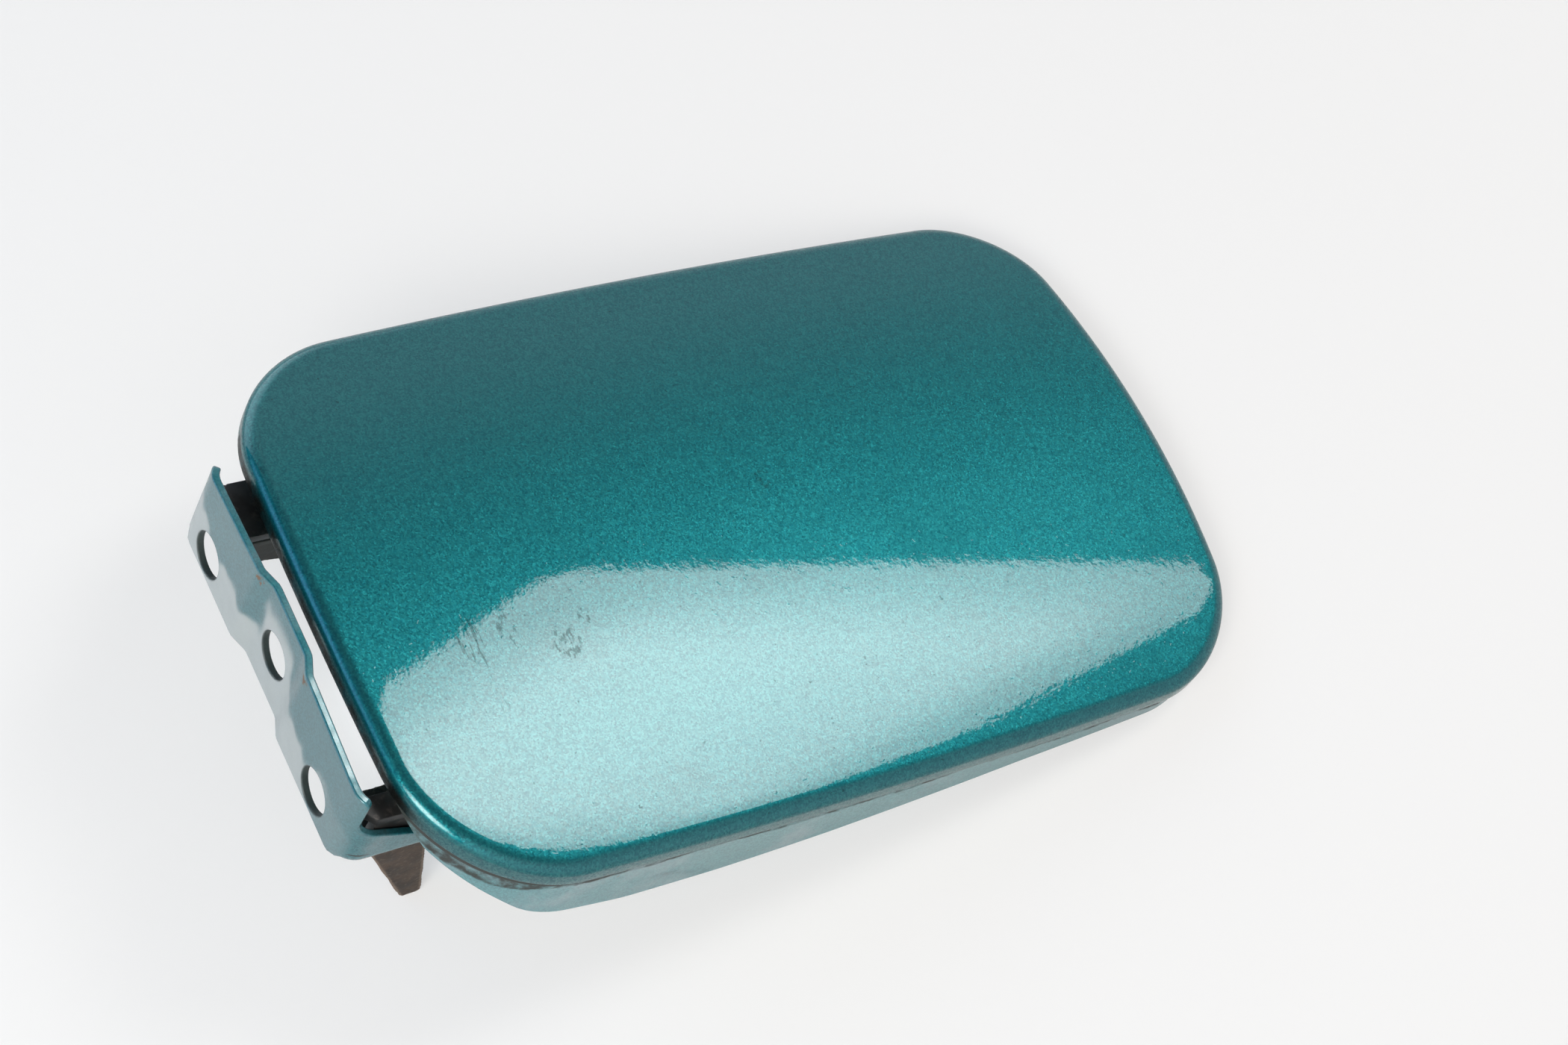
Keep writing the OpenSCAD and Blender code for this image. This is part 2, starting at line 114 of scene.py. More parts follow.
def easeEdges(piece, width, angle, clamped):
    bevel = piece.modifiers.new("eased edges", "BEVEL")
    bevel.width = width * mm
    bevel.segments = 3
    bevel.limit_method = "ANGLE"
    bevel.angle_limit = math.radians(angle)
    bevel.harden_normals = True
    bevel.use_clamp_overlap = clamped
    settle(piece)


# Takes over a solid of the frame, with its flats cleaned and its edges eased.
def eased(name, node, width, material, body, slot):
    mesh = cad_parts[node].data.copy()
    cleanMesh(mesh, 0.002, 1.5)
    piece = addPiece(name, mesh, material, body, slot, node)
    smooth(piece)
    easeEdges(piece, width, 32, True)


def ringFaces(rings, count):
    faces = []
    for k in range(rings - 1):
        for i in range(count):
            j = (i + 1) % count
            faces.append((k * count + i, (k + 1) * count + i,
                          (k + 1) * count + j, k * count + j))
    return faces


def isInside(p, loop):
    inside = False
    for k, a in enumerate(loop):
        b = loop[k - 1]
        if (a[1] > p[1]) != (b[1] > p[1]):
            if p[0] < (b[0] - a[0]) * (p[1] - a[1]) / (b[1] - a[1]) + a[0]:
                inside = not inside
    return inside


def gapTo(p, loop):
    best = 1e9
    for k, a in enumerate(loop):
        b = loop[k - 1]
        ux, uy = b[0] - a[0], b[1] - a[1]
        length = ux * ux + uy * uy
        t = ((p[0] - a[0]) * ux + (p[1] - a[1]) * uy) / length if length else 0
        t = min(max(t, 0), 1)
        best = min(best, math.hypot(p[0] - a[0] - t * ux, p[1] - a[1] - t * uy))
    return best


# Triangles over a flat outline with its holes left out. Creases are loops
# that the triangles follow, and the loose points fill what lies between.
def flatSheet(outline, holes, creases, loose):
    points, edges = [], []
    for loop in [outline] + holes + creases:
        first = len(points)
        points += loop
        edges += [(first + i, first + (i + 1) % len(loop)) for i in range(len(loop))]
    points += loose
    made = geometry.delaunay_2d_cdt(
        [Vector(p) for p in points], edges, [], 1, 1e-5)
    flat = [tuple(p) for p in made[0]]
    faces = []
    for a, b, c in made[2]:
        middle = [(flat[a][k] + flat[b][k] + flat[c][k]) / 3 for k in (0, 1)]
        if not any(isInside(middle, hole) for hole in holes):
            faces.append((a, b, c))
    used = sorted({i for face in faces for i in face})
    order = {old: new for new, old in enumerate(used)}
    return [flat[i] for i in used], [tuple(order[i] for i in face) for face in faces]


def looseGrid(outline, loops, step, clear):
    xs, ys = [p[0] for p in outline], [p[1] for p in outline]
    found = []
    for i in range(int((max(xs) - min(xs)) / step) + 1):
        for j in range(int((max(ys) - min(ys)) / step) + 1):
            p = (min(xs) + (i + 0.5) * step, min(ys) + (j + 0.5) * step)
            if not isInside(p, outline) or gapTo(p, outline) < clear:
                continue
            if all(not isInside(p, loop) and gapTo(p, loop) > clear for loop in loops):
                found.append(p)
    return found


def circle(cx, cy, radius, steps=40):
    turn = 2 * math.pi / steps
    return [(cx + radius * math.cos(i * turn), cy + radius * math.sin(i * turn))
            for i in range(steps)]


def arc(cx, cy, radius, start, end, steps):
    angles = [math.radians(start + (end - start) * i / steps) for i in range(steps + 1)]
    return [(cx + radius * math.cos(a), cy + radius * math.sin(a)) for a in angles]


def easeInOut(t):
    t = min(max(t, 0), 1)
    return t * t * (3 - 2 * t)


# A straight ramp with a short round at each end.
def creased(t, ease=0.16):
    t = min(max(t, 0), 1)
    if t > 0.5:
        return 1 - creased(1 - t, ease)
    return (t * t / (2 * ease) if t < ease else t - ease / 2) / (1 - ease)


# ways of making a material
def put(tree, kind, inputs=None, **settings):
    node = tree.nodes.new("ShaderNode" + kind)
    for key, value in settings.items():
        setattr(node, key, value)
    for key, value in (inputs or {}).items():
        if isinstance(value, bpy.types.NodeSocket):
            tree.links.new(value, node.inputs[key])
        else:
            node.inputs[key].default_value = value
    return node


def math2(tree, operation, a, b=0.5):
    return put(tree, "Math", {0: a, 1: b}, operation=operation).outputs[0]


def joined(tree, operation, masks):
    whole = masks[0]
    for mask in masks[1:]:
        whole = math2(tree, operation, whole, mask)
    return whole


def times(tree, *masks):
    return joined(tree, "MULTIPLY", masks)


def strongest(tree, *masks):
    return joined(tree, "MAXIMUM", masks)


def vectorMath(tree, operation, a, b=(0, 0, 0)):
    return put(tree, "VectorMath", {0: a, 1: b}, operation=operation).outputs[0]


def lengthOf(tree, vector):
    return put(tree, "VectorMath", {0: vector}, operation="LENGTH").outputs["Value"]


def mixColour(tree, factor, a, b):
    return put(tree, "Mix", {0: factor, 6: a, 7: b}, data_type="RGBA").outputs[2]


def mixValue(tree, factor, a, b):
    return put(tree, "Mix", {0: factor, 2: a, 3: b}, data_type="FLOAT").outputs[0]


def spread(tree, value, low, high, toLow=0.0, toHigh=1.0, soft=True):
    return put(tree, "MapRange", {0: value, 1: low, 2: high, 3: toLow, 4: toHigh},
               interpolation_type="SMOOTHSTEP" if soft else "LINEAR").outputs[0]


def objectPoint(tree):
    return put(tree, "TexCoord").outputs["Object"]


def objectAxes(tree):
    return put(tree, "SeparateXYZ", {0: objectPoint(tree)}).outputs


def facingAxes(tree):
    return put(tree, "SeparateXYZ", {0: put(tree, "TexCoord").outputs["Normal"]}).outputs


def newGroup(name, inputs, outputs):
    group = bpy.data.node_groups.new(name, "ShaderNodeTree")
    for way, sockets in (("INPUT", inputs), ("OUTPUT", outputs)):
        for label, kind in sockets.items():
            group.interface.new_socket(
                name=label, in_out=way, socket_type="NodeSocket" + kind)
    start = group.nodes.new("NodeGroupInput")
    end = group.nodes.new("NodeGroupOutput")
    return group, start.outputs, end.inputs


def place(tree, group, **inputs):
    return put(tree, "Group", inputs, node_tree=group)


def newMaterial(name, **shader):
    material = bpy.data.materials.new(name)
    material.use_nodes = True
    tree = material.node_tree
    principled = tree.nodes["Principled BSDF"]
    for key, value in shader.items():
        principled.inputs[key.replace("_", " ")].default_value = value
    return material, tree, principled


def noiseAt(tree, scale, detail, roughness=0.5, at=None):
    return put(tree, "TexNoise", {"Vector": at or objectPoint(tree), "Scale": scale,
                                  "Detail": detail, "Roughness": roughness}).outputs["Fac"]


def bumpFrom(tree, height, distance, strength, **inputs):
    return put(tree, "Bump", {"Height": height, "Distance": distance,
                              "Strength": strength, **inputs}).outputs[0]


def feed(tree, principled, **sockets):
    for key, value in sockets.items():
        tree.links.new(value, principled.inputs[key.replace("_", " ")])


# Metal flakes: each cell of a fine foam leans its own way.
flakes, given, out = newGroup("flakes", {"Size": "Float", "Lean": "Float"},
                              {"Normal": "Vector", "Tone": "Float"})
cells = put(flakes, "TexVoronoi", {
    "Vector": objectPoint(flakes), "Scale": math2(flakes, "DIVIDE", 1.0, given["Size"])})
centred = vectorMath(flakes, "SUBTRACT", cells.outputs["Color"], (0.5, 0.5, 0.5))
lean = put(flakes, "VectorMath", {0: centred, "Scale": given["Lean"]}, operation="SCALE")
face = put(flakes, "NewGeometry").outputs["Normal"]
leaning = vectorMath(flakes, "ADD", face, lean.outputs[0])
flakes.links.new(vectorMath(flakes, "NORMALIZE", leaning), out["Normal"])
tone = put(flakes, "SeparateColor", {0: cells.outputs["Color"]})
flakes.links.new(tone.outputs[1], out["Tone"])

# Depth below the crowned surface, in millimetres.
below, given, out = newGroup("depth below the crown", {}, {"Depth": "Float"})
spot = objectAxes(below)
fall = 0.0
for axis, middle, reach, sink in ((2, 0.0, 0.0572, 5.0), (0, 0.0985, 0.092, 0.4)):
    away = math2(below, "ABSOLUTE", math2(below, "SUBTRACT", spot[axis], middle), 0)
    bow = math2(below, "POWER", math2(below, "DIVIDE", away, reach), 2.0)
    fall = math2(below, "ADD", fall, times(below, bow, sink))
level = math2(below, "ADD", times(below, spot[1], 1000.0), 16.8)
below.links.new(math2(below, "SUBTRACT", level, fall), out["Depth"])

# Broken patches: grime, dust, uneven gloss and the ragged edge of a painted reflection.
patches, given, out = newGroup(
    "patches", {"Size": "Float", "Detail": "Float", "From": "Float", "To": "Float",
                "Stretch": "Vector"}, {"Mask": "Float"})
stretched = vectorMath(patches, "MULTIPLY", objectPoint(patches), given["Stretch"])
cloud = noiseAt(patches, math2(patches, "DIVIDE", 1.0, given["Size"]), given["Detail"],
                0.6, stretched)
patches.links.new(spread(patches, cloud, given["From"], given["To"]), out["Mask"])

# A mark of a given place and reach, broken up by its own streaks.
marks, given, out = newGroup(
    "marks", {"Place": "Vector", "Reach": "Vector", "Streaks": "Vector", "From": "Float",
              "To": "Float"}, {"Mask": "Float"})
here = objectPoint(marks)
share = vectorMath(marks, "DIVIDE", vectorMath(marks, "SUBTRACT", here, given["Place"]),
                   given["Reach"])
outside = spread(marks, lengthOf(marks, share), 0.35, 1.0, 0.0, -0.35)
grain = noiseAt(marks, 1.0, 3.0, 0.65,
                vectorMath(marks, "MULTIPLY", here, given["Streaks"]))
broken = math2(marks, "ADD", grain, outside)
marks.links.new(spread(marks, broken, given["From"], given["To"]), out["Mask"])


def patchMask(tree, size, detail, low, high, stretch=(1.0, 1.0, 1.0)):
    return place(tree, patches, Size=size, Detail=detail, From=low, To=high,
                 Stretch=stretch).outputs[0]


def markOn(tree, at, reach, streaks, low, high):
    span = [abs(v) for v in stand(*reach)]
    lines = [abs(v) / mm for v in stand(*streaks)]
    return place(tree, marks, Place=stand(*at), Reach=span, Streaks=lines, From=low,
                 To=high).outputs[0]


# In the paints below, patches are size, detail, the values they fade between and
# sometimes a stretch. Noises are scale, detail and sometimes roughness.

# the flap's gloss paint: flakes under a clear coat, dirt and painted shade in the rolled
# edge
# scuffs: place, reach and streaks on the lying flap, then where they break up
paint = {
    "deep": (0.0, 0.096, 0.121, 1),
    "bright": (0.010, 0.190, 0.203, 1),
    "grime": (0.006, 0.018, 0.019, 1),
    # dirt colour, also used for painted shade on the hinge side's rolled wall
    "dirt": (0.030, 0.022, 0.017, 1),
    "shader": {"Metallic": 0.9, "Coat_Weight": 1.0, "Coat_Roughness": 0.025,
               "Coat_IOR": 1.5},
    "spreadOfFlakes": 0.43,
    "haze": 0.04,
    "flake": {"Size": 0.00030, "Lean": 0.13},
    "clumps": (0.0012, 3.0, 0.2, 0.8),
    "clumping": 0.2,
    "scuffs": (
        ((30.5, -12.0, 15), (5.0, 10, 20), (1500, 190, 500), 0.50, 0.60),
        ((31.5, -22.0, 15), (2.0, 9, 20), (2200, 120, 500), 0.52, 0.60),
        ((38.0, -11.5, 15), (3.6, 7, 20), (1300, 500, 500), 0.53, 0.62),
        ((47.5, -16.5, 15), (5.6, 6.5, 20), (1200, 620, 500), 0.47, 0.58),
        ((52.5, -12.5, 15), (2.6, 4, 20), (1600, 700, 500), 0.50, 0.60),
        ((99.8, 5.2, 16), (4.2, 5, 20), (500, 420, 500), 0.50, 0.62),
        ((67.7, 12.6, 16), (2.2, 2, 20), (800, 700, 500), 0.54, 0.64),
        ((66.0, -42, 13), (9, 4, 20), (500, 900, 500), 0.60, 0.68),
        ((104, -35, 14), (8, 5, 20), (500, 800, 500), 0.60, 0.68),
    ),
    "scuffing": 0.5,
    "nibs": (0.0008, 1.0, 0.745, 0.775),
    "hemDirt": (4.6, 5.05),
    "hemShare": 0.5,
    "wallDirtAndShade": (1.7, 3.2),
    "wallEnds": ((0, 0.022, 0.011), (2, -0.044, -0.034)),
    "wallPatches": (0.006, 6.0, 0.30, 0.56),
    "dirtShare": 0.93,
    "coatLoss": 0.9,
    "coatGrain": 0.20,
    "hazePatches": (0.02, 6.0, 0.50, 0.72),
    "peel": (1 / 0.0019, 2.5, 0.62),
    "pimples": (900.0, 1.0),
    "pimpleEdge": (0.68, 0.80),
    "pimpleShare": 0.5,
    "peelHeight": 0.000010,
}


def glossPaint():
    material, tree, principled = newMaterial(
        "flap gloss paint", Roughness=paint["spreadOfFlakes"], **paint["shader"])
    flake = place(tree, flakes, **paint["flake"])
    clumps = patchMask(tree, *paint["clumps"])
    tone = mixValue(tree, paint["clumping"], flake.outputs["Tone"], clumps)
    colour = mixColour(tree, tone, paint["deep"], paint["bright"])
    scuffs = strongest(tree, *[markOn(tree, *scuff) for scuff in paint["scuffs"]],
                       patchMask(tree, *paint["nibs"]))
    scuffs = times(tree, scuffs, paint["scuffing"])
    colour = mixColour(tree, scuffs, colour, paint["grime"])
    spot = objectAxes(tree)
    depth = place(tree, below).outputs[0]
    hem = spread(tree, depth, *paint["hemDirt"])
    # on the hinge side's rolled wall: dirt together with painted shade
    wall = times(tree, spread(tree, depth, *paint["wallDirtAndShade"]),
                 patchMask(tree, *paint["wallPatches"]),
                 *[spread(tree, spot[axis], *ends) for axis, *ends in paint["wallEnds"]])
    dirtAndShade = strongest(tree, times(tree, hem, paint["hemShare"]), wall)
    colour = mixColour(tree, times(tree, dirtAndShade, paint["dirtShare"]), colour, paint["dirt"])
    worn = times(tree, strongest(tree, scuffs, dirtAndShade), paint["coatLoss"])
    coat = times(tree, math2(tree, "SUBTRACT", 1.0, worn),
                 spread(tree, flake.outputs["Tone"], 0.0, 1.0, 1.0 - paint["coatGrain"],
                        1.0, False))
    gloss = mixValue(tree, patchMask(tree, *paint["hazePatches"]),
                     paint["spreadOfFlakes"], paint["spreadOfFlakes"] + paint["haze"])
    peel = noiseAt(tree, *paint["peel"])
    pimples = spread(tree, noiseAt(tree, *paint["pimples"]), *paint["pimpleEdge"])
    height = math2(tree, "ADD", peel, times(tree, pimples, paint["pimpleShare"]))
    feed(tree, principled, Base_Color=colour, Normal=flake.outputs["Normal"],
         Coat_Weight=coat, Roughness=gloss,
         Coat_Normal=bumpFrom(tree, height, paint["peelHeight"], 1.0))
    return material


# the inner panel's thinner paint, dusted over, with dirt in the seam
# seam depths are in millimetres below the crown
overspray = {
    "deep": (0.012, 0.20, 0.225, 1),
    "bright": (0.030, 0.33, 0.35, 1),
    "dust": (0.36, 0.43, 0.47, 1),
    "dirt": (0.034, 0.027, 0.021, 1),
    "rust": (0.16, 0.055, 0.020, 1),
    "shader": {"Coat_Weight": 1.0, "Coat_Roughness": 0.14, "Coat_IOR": 1.7},
    "flake": {"Size": 0.00030, "Lean": 0.08},
    "film": (0.016, 7.0, 0.38, 0.75),
    "dustShare": (0.26, 0.62),
    "bareFloor": (0.55, 0.90),
    "floorShare": 0.6,
    "droop": (0.012, 5.0, 0.30, 0.72, (1.0, 0.3, 1.0)),
    "ragged": (0.0035, 6.0, 0.34, 0.60),
    "raggedShare": (0.25, 1.0),
    "seamTop": 6.95,
    "seamDroop": 1.3,
    "seamCorner": (0.036, 0.022, 0.0, 2.0),
    "seamEdge": (0.4, -0.3),
    "seamLine": (7.2, 6.8),
    "seamWall": (0.45, 0.2),
    "streaks": (0.006, 6.0, 0.60, 0.74, (0.35, 1.0, 1.0)),
    "streakShare": 0.35,
    "dirtShare": 0.93,
    "specks": (0.0021, 3.0, 0.70, 0.76),
    "speckShare": 0.6,
    "grain": (420.0, 3.0),
    "grainBump": (0.00003, 0.7),
    "rough": (0.42, 0.78),
    "metal": (0.5, 0.05),
    "coat": (1.0, 0.05),
    "floorCoat": 0.25,
}


def thinPaint():
    look = overspray
    material, tree, principled = newMaterial("inner panel paint", **look["shader"])
    flake = place(tree, flakes, **look["flake"])
    colour = mixColour(tree, flake.outputs["Tone"], look["deep"], look["bright"])
    film = spread(tree, patchMask(tree, *look["film"]), 0.0, 1.0, *look["dustShare"])
    colour = mixColour(tree, film, colour, look["dust"])
    lying = math2(tree, "ABSOLUTE", facingAxes(tree)[1], 0)
    floor = spread(tree, lying, *look["bareFloor"])
    colour = mixColour(tree, times(tree, floor, look["floorShare"]), colour, look["deep"])
    depth = place(tree, below).outputs[0]
    droop = patchMask(tree, *look["droop"])
    ragged = patchMask(tree, *look["ragged"])
    corner = spread(tree, objectAxes(tree)[0], *look["seamCorner"])
    reach = math2(tree, "ADD", times(tree, droop, look["seamDroop"]), corner)
    beyond = math2(tree, "SUBTRACT", depth, math2(tree, "ADD", reach, look["seamTop"]))
    seam = times(tree, spread(tree, beyond, *look["seamEdge"]),
                 mixValue(tree, ragged, *look["raggedShare"]))
    seam = strongest(tree, seam, spread(tree, depth, *look["seamLine"]))
    seam = times(tree, seam, spread(tree, lying, *look["seamWall"]))
    streaks = patchMask(tree, *look["streaks"])
    dirt = strongest(tree, seam, times(tree, streaks, look["streakShare"]))
    colour = mixColour(tree, times(tree, dirt, look["dirtShare"]), colour, look["dirt"])
    specks = times(tree, patchMask(tree, *look["specks"]), look["speckShare"])
    colour = mixColour(tree, specks, colour, look["rust"])
    coat = times(tree, mixValue(tree, dirt, *look["coat"]),
                 mixValue(tree, floor, 1.0, look["floorCoat"]))
    bump = bumpFrom(tree, noiseAt(tree, *look["grain"]), *look["grainBump"],
                    Normal=flake.outputs["Normal"])
    feed(tree, principled, Base_Color=colour, Coat_Weight=coat, Normal=bump,
         Roughness=mixValue(tree, dirt, *look["rough"]),
         Metallic=mixValue(tree, dirt, *look["metal"]))
    return material


# the bracket's satin paint: a painted reflection, pale towards the plate's foot, with thin
# worn patches; painted shade in the bolt holes and dark marks at the fold and upper ledge
# holes: along the bracket and above its middle line, in metres
satin = {
    "deep": (0.004, 0.110, 0.138, 1),
    "bright": (0.014, 0.178, 0.205, 1),
    # pale colour: mostly a painted reflection on the plate, also used for thin worn
    # patches
    "worn": (0.50, 0.52, 0.51, 1),
    # dirt colour, also used for painted shade in the bolt holes and for the dark marks at
    # the fold and upper ledge
    "dirt": (0.040, 0.034, 0.028, 1),
    "rust": (0.20, 0.085, 0.030, 1),
    "shader": {"Coat_Weight": 1.0, "Coat_Roughness": 0.12, "Coat_IOR": 1.6},
    "flake": {"Size": 0.00030, "Lean": 0.06},
    # where the painted reflection falls: outward plate faces, towards the foot below a
    # swaying line, weaker towards the lower end
    "plate": (-0.45, -0.97),
    "foot": (-0.0100, -0.0035),
    "footClouds": (0.016, 2.5, 0.36, 0.64, (1.0, 0.6, 1.0)),
    "footSway": 0.011,
    "lowerEnd": (-0.030, -0.016, 0.25, 1.0),
    "reflectionShare": (0.16, 0.88),
    "thin": (0.008, 6.0, 0.40, 0.75),
    "thinShare": 0.16,
    "film": (0.005, 7.0, 0.66, 0.86),
    "filmShare": 0.06,
    "specks": (0.0013, 2.0, 0.765, 0.80),
    "speckShare": 0.8,
    "rustSpots": (((1, 9.5, 14.8), (3, 2.0, 2.0), (900, 900, 900), 0.46, 0.56),
                  ((1, -10.5, 14.8), (3, 2.4, 2.0), (900, 900, 900), 0.44, 0.54)),
    # crease: a dark line along the fold
    "crease": ((3.6, -36.4, -2.0), (3.4, 4, 0.42), (120, 120, 120), 0.38, 0.48),
    "holes": ((0.0, 0.0048), (0.024, 0.0), (-0.024, 0.0)),
    # painted shade round the rims and walls of the bolt holes, from the outer radius in to
    # the inner
    "boreShade": (0.00475, 0.00432),
    "upperLedge": ((2, 0.024, 0.0255), (0, 0.0035, 0.0050)),
    "dirtAndShadeShares": (0.85, 0.9, 0.97),
    "grain": (380.0, 3.0),
    "grainBump": (0.00002, 0.6),
    "waves": (95.0, 2.0),
    "waveBump": (0.0006, 0.8),
    "rough": (0.40, 0.68),
    "metal": (0.45, 0.05),
    "coat": (1.0, 0.1),
}


def satinPaint():
    look = satin
    material, tree, principled = newMaterial("bracket satin paint", **look["shader"])
    flake = place(tree, flakes, **look["flake"])
    colour = mixColour(tree, flake.outputs["Tone"], look["deep"], look["bright"])
    spot = objectAxes(tree)
    # painted reflection: pale on the plate's outward faces towards its foot, joined with
    # thin worn patches
    plate = spread(tree, facingAxes(tree)[0], *look["plate"])
    clouds = patchMask(tree, *look["footClouds"])
    sway = times(tree, math2(tree, "SUBTRACT", clouds, 0.5), look["footSway"])
    foot = spread(tree, math2(tree, "ADD", spot[1], sway), *look["foot"])
    lower = spread(tree, spot[2], *look["lowerEnd"])
    reflectionAndWear = times(tree, plate, spread(tree, times(tree, foot, lower), 0.0, 1.0,
                                     *look["reflectionShare"]))
    thin = times(tree, patchMask(tree, *look["thin"]), look["thinShare"])
    reflectionAndWear = strongest(tree, reflectionAndWear, thin)
    colour = mixColour(tree, reflectionAndWear, colour, look["worn"])
    film = times(tree, patchMask(tree, *look["film"]), look["filmShare"])
    colour = mixColour(tree, film, colour, look["dirt"])
    specks = strongest(tree, patchMask(tree, *look["specks"]),
                       *[markOn(tree, *rust) for rust in look["rustSpots"]])
    colour = mixColour(tree, times(tree, specks, look["speckShare"]), colour, look["rust"])
    # painted shade on the walls of the bolt holes, then a dark line along the fold and a
    # darker upper ledge
    shadedBores = []
    for along, high in look["holes"]:
        away = put(tree, "CombineXYZ", {0: math2(tree, "SUBTRACT", spot[2], along),
                                        1: math2(tree, "ADD", spot[1], high)})
        shadedBores.append(spread(tree, lengthOf(tree, away.outputs[0]), *look["boreShade"]))
    ledge = [spread(tree, spot[axis], *ends) for axis, *ends in look["upperLedge"]]
    places = (strongest(tree, *shadedBores), markOn(tree, *look["crease"]), times(tree, *ledge))
    dirtAndShade = strongest(tree, *[times(tree, spoiled, share)
                             for spoiled, share in zip(places, look["dirtAndShadeShares"])])
    colour = mixColour(tree, dirtAndShade, colour, look["dirt"])
    dull = strongest(tree, specks, dirtAndShade)
    bump = bumpFrom(tree, noiseAt(tree, *look["grain"]), *look["grainBump"],
                    Normal=flake.outputs["Normal"])
    waves = bumpFrom(tree, noiseAt(tree, *look["waves"]), *look["waveBump"])
    feed(tree, principled, Base_Color=colour, Normal=bump, Coat_Normal=waves,
         Roughness=mixValue(tree, dull, *look["rough"]),
         Metallic=mixValue(tree, strongest(tree, reflectionAndWear, dull), *look["metal"]),
         Coat_Weight=mixValue(tree, dull, *look["coat"]))
    return material


# black coat on the arms, bare and zinc-plated steel, and two rubbers
uneven = {
    "film": (6.0, 0.35, 0.70),
    "filmRough": 0.18,
    "fineSize": 0.22,
    "fine": (5.0, 0.52, 0.72),
    "fineShare": 0.45,
    "rubbedAndHighlit": (0.502, 0.530, 0.0, 0.85),
    "grain": (6.0, 0.7),
    "grainBump": 0.8,
}
plain = {
    "black arm coat": {
        "base": (0.014, 0.013, 0.013, 1), "second": (0.040, 0.038, 0.037, 1),
        "rough": 0.36, "metal": 0.0, "size": 0.006, "height": 0.00004,
        "worn": (0.10, 0.085, 0.075, 1)},
    "rivet steel": {
        "base": (0.42, 0.42, 0.41, 1), "second": (0.24, 0.23, 0.21, 1),
        "rough": 0.34, "metal": 0.9, "size": 0.004, "height": 0.00003,
        "worn": (0.16, 0.09, 0.05, 1)},
    "yellow zinc": {
        "base": (0.58, 0.50, 0.26, 1), "second": (0.40, 0.42, 0.36, 1),
        "rough": 0.30, "metal": 0.92, "size": 0.005, "height": 0.00002,
        "worn": (0.30, 0.24, 0.14, 1)},
    "aged stop rubber": {
        "base": (0.036, 0.025, 0.019, 1), "second": (0.092, 0.064, 0.048, 1),
        "rough": 0.66, "metal": 0.0, "size": 0.004, "height": 0.00012,
        "worn": (0.17, 0.135, 0.105, 1), "rubbedAndHighlit": (0.21, 0.155, 0.115, 1)},
    "edge buffer rubber": {
        "base": (0.024, 0.023, 0.021, 1), "second": (0.052, 0.049, 0.044, 1),
        "rough": 0.62, "metal": 0.0, "size": 0.004, "height": 0.00006,
        "worn": (0.052, 0.049, 0.044, 1)},
}


def plainFinish(name):
    look = plain[name]
    size, rough = look["size"], look["rough"]
    material, tree, principled = newMaterial(name, Metallic=look["metal"])
    film = patchMask(tree, size, *uneven["film"])
    colour = mixColour(tree, film, look["base"], look["second"])
    fine = patchMask(tree, size * uneven["fineSize"], *uneven["fine"])
    colour = mixColour(tree, times(tree, fine, uneven["fineShare"]), colour, look["worn"])
    # convex edges lighter by pointiness: worn, dusty rubber with a painted highlight on
    # its edges
    if "rubbedAndHighlit" in look:
        sharp = put(tree, "NewGeometry").outputs["Pointiness"]
        colour = mixColour(tree, spread(tree, sharp, *uneven["rubbedAndHighlit"]), colour,
                           look["rubbedAndHighlit"])
    bump = bumpFrom(tree, noiseAt(tree, 3 / size, *uneven["grain"]), look["height"],
                    uneven["grainBump"])
    feed(tree, principled, Base_Color=colour, Normal=bump,
         Roughness=mixValue(tree, film, rough, min(rough + uneven["filmRough"], 1.0)))
    return material


skinPaint = glossPaint()
panelPaint = thinPaint()
bracketPaint = satinPaint()
armCoat = plainFinish("black arm coat")
rivetSteel = plainFinish("rivet steel")
catchZinc = plainFinish("yellow zinc")
stopRubber = plainFinish("aged stop rubber")
edgeRubber = plainFinish("edge buffer rubber")
print("materials made:", len(bpy.data.materials))

# flap outline and crown, the same values as the solids
flap = {
    "length": 184.0,
    "width": 114.4,
    "middle": 98.5,
    "top": 16.8,
    "crownAcross": 5.0,
    "crownAlong": 0.4,
    "corners": ((1, 1, 20.0), (-1, 1, 24.0), (-1, -1, 27.0), (1, -1, 22.5)),
    "bowHinge": 3.7,
    "bowFree": 4.8,
    "bowLong": 2.2,
    "rim": 2.0,
    "rimReach": 2.9,
    "rimDepth": 5.0,
    "sheet": 0.8,
    "cornerSteps": 26,
    "sideSteps": (84, 44),
}
halfLength = flap["length"] / 2
halfWidth = flap["width"] / 2


def flapOutline():
    bends = []
    for turn, (sx, sy, radius) in enumerate(flap["corners"]):
        bends.append(arc(sx * (halfLength - radius), sy * (halfWidth - radius), radius,
                         90 * turn, 90 * turn + 90, flap["cornerSteps"]))
    points = []
    for turn, bend in enumerate(bends):
        ahead = bends[(turn + 1) % 4][0]
        steps = flap["sideSteps"][turn % 2]
        points += bend
        for i in range(1, steps):
            points.append((bend[-1][0] + (ahead[0] - bend[-1][0]) * i / steps,
                           bend[-1][1] + (ahead[1] - bend[-1][1]) * i / steps))
    bowed = []
    for x, y in points:
        ends = flap["bowFree"] if x > 0 else flap["bowHinge"]
        bowed.append((x * (1 - ends / halfLength * (y / halfWidth) ** 2),
                      y * (1 - flap["bowLong"] / halfWidth * (x / halfLength) ** 2)))
    return bowed


outline = flapOutline()
rimCount = len(outline)
inwards = []
for i in range(rimCount):
    before, after = outline[i - 1], outline[(i + 1) % rimCount]
    dx, dy = after[0] - before[0], after[1] - before[1]
    inwards.append((-dy / math.hypot(dx, dy), dx / math.hypot(dx, dy)))


def crownAt(x, y):
    return (flap["top"] - flap["crownAcross"] * (y / halfWidth) ** 2
            - flap["crownAlong"] * (x / halfLength) ** 2)


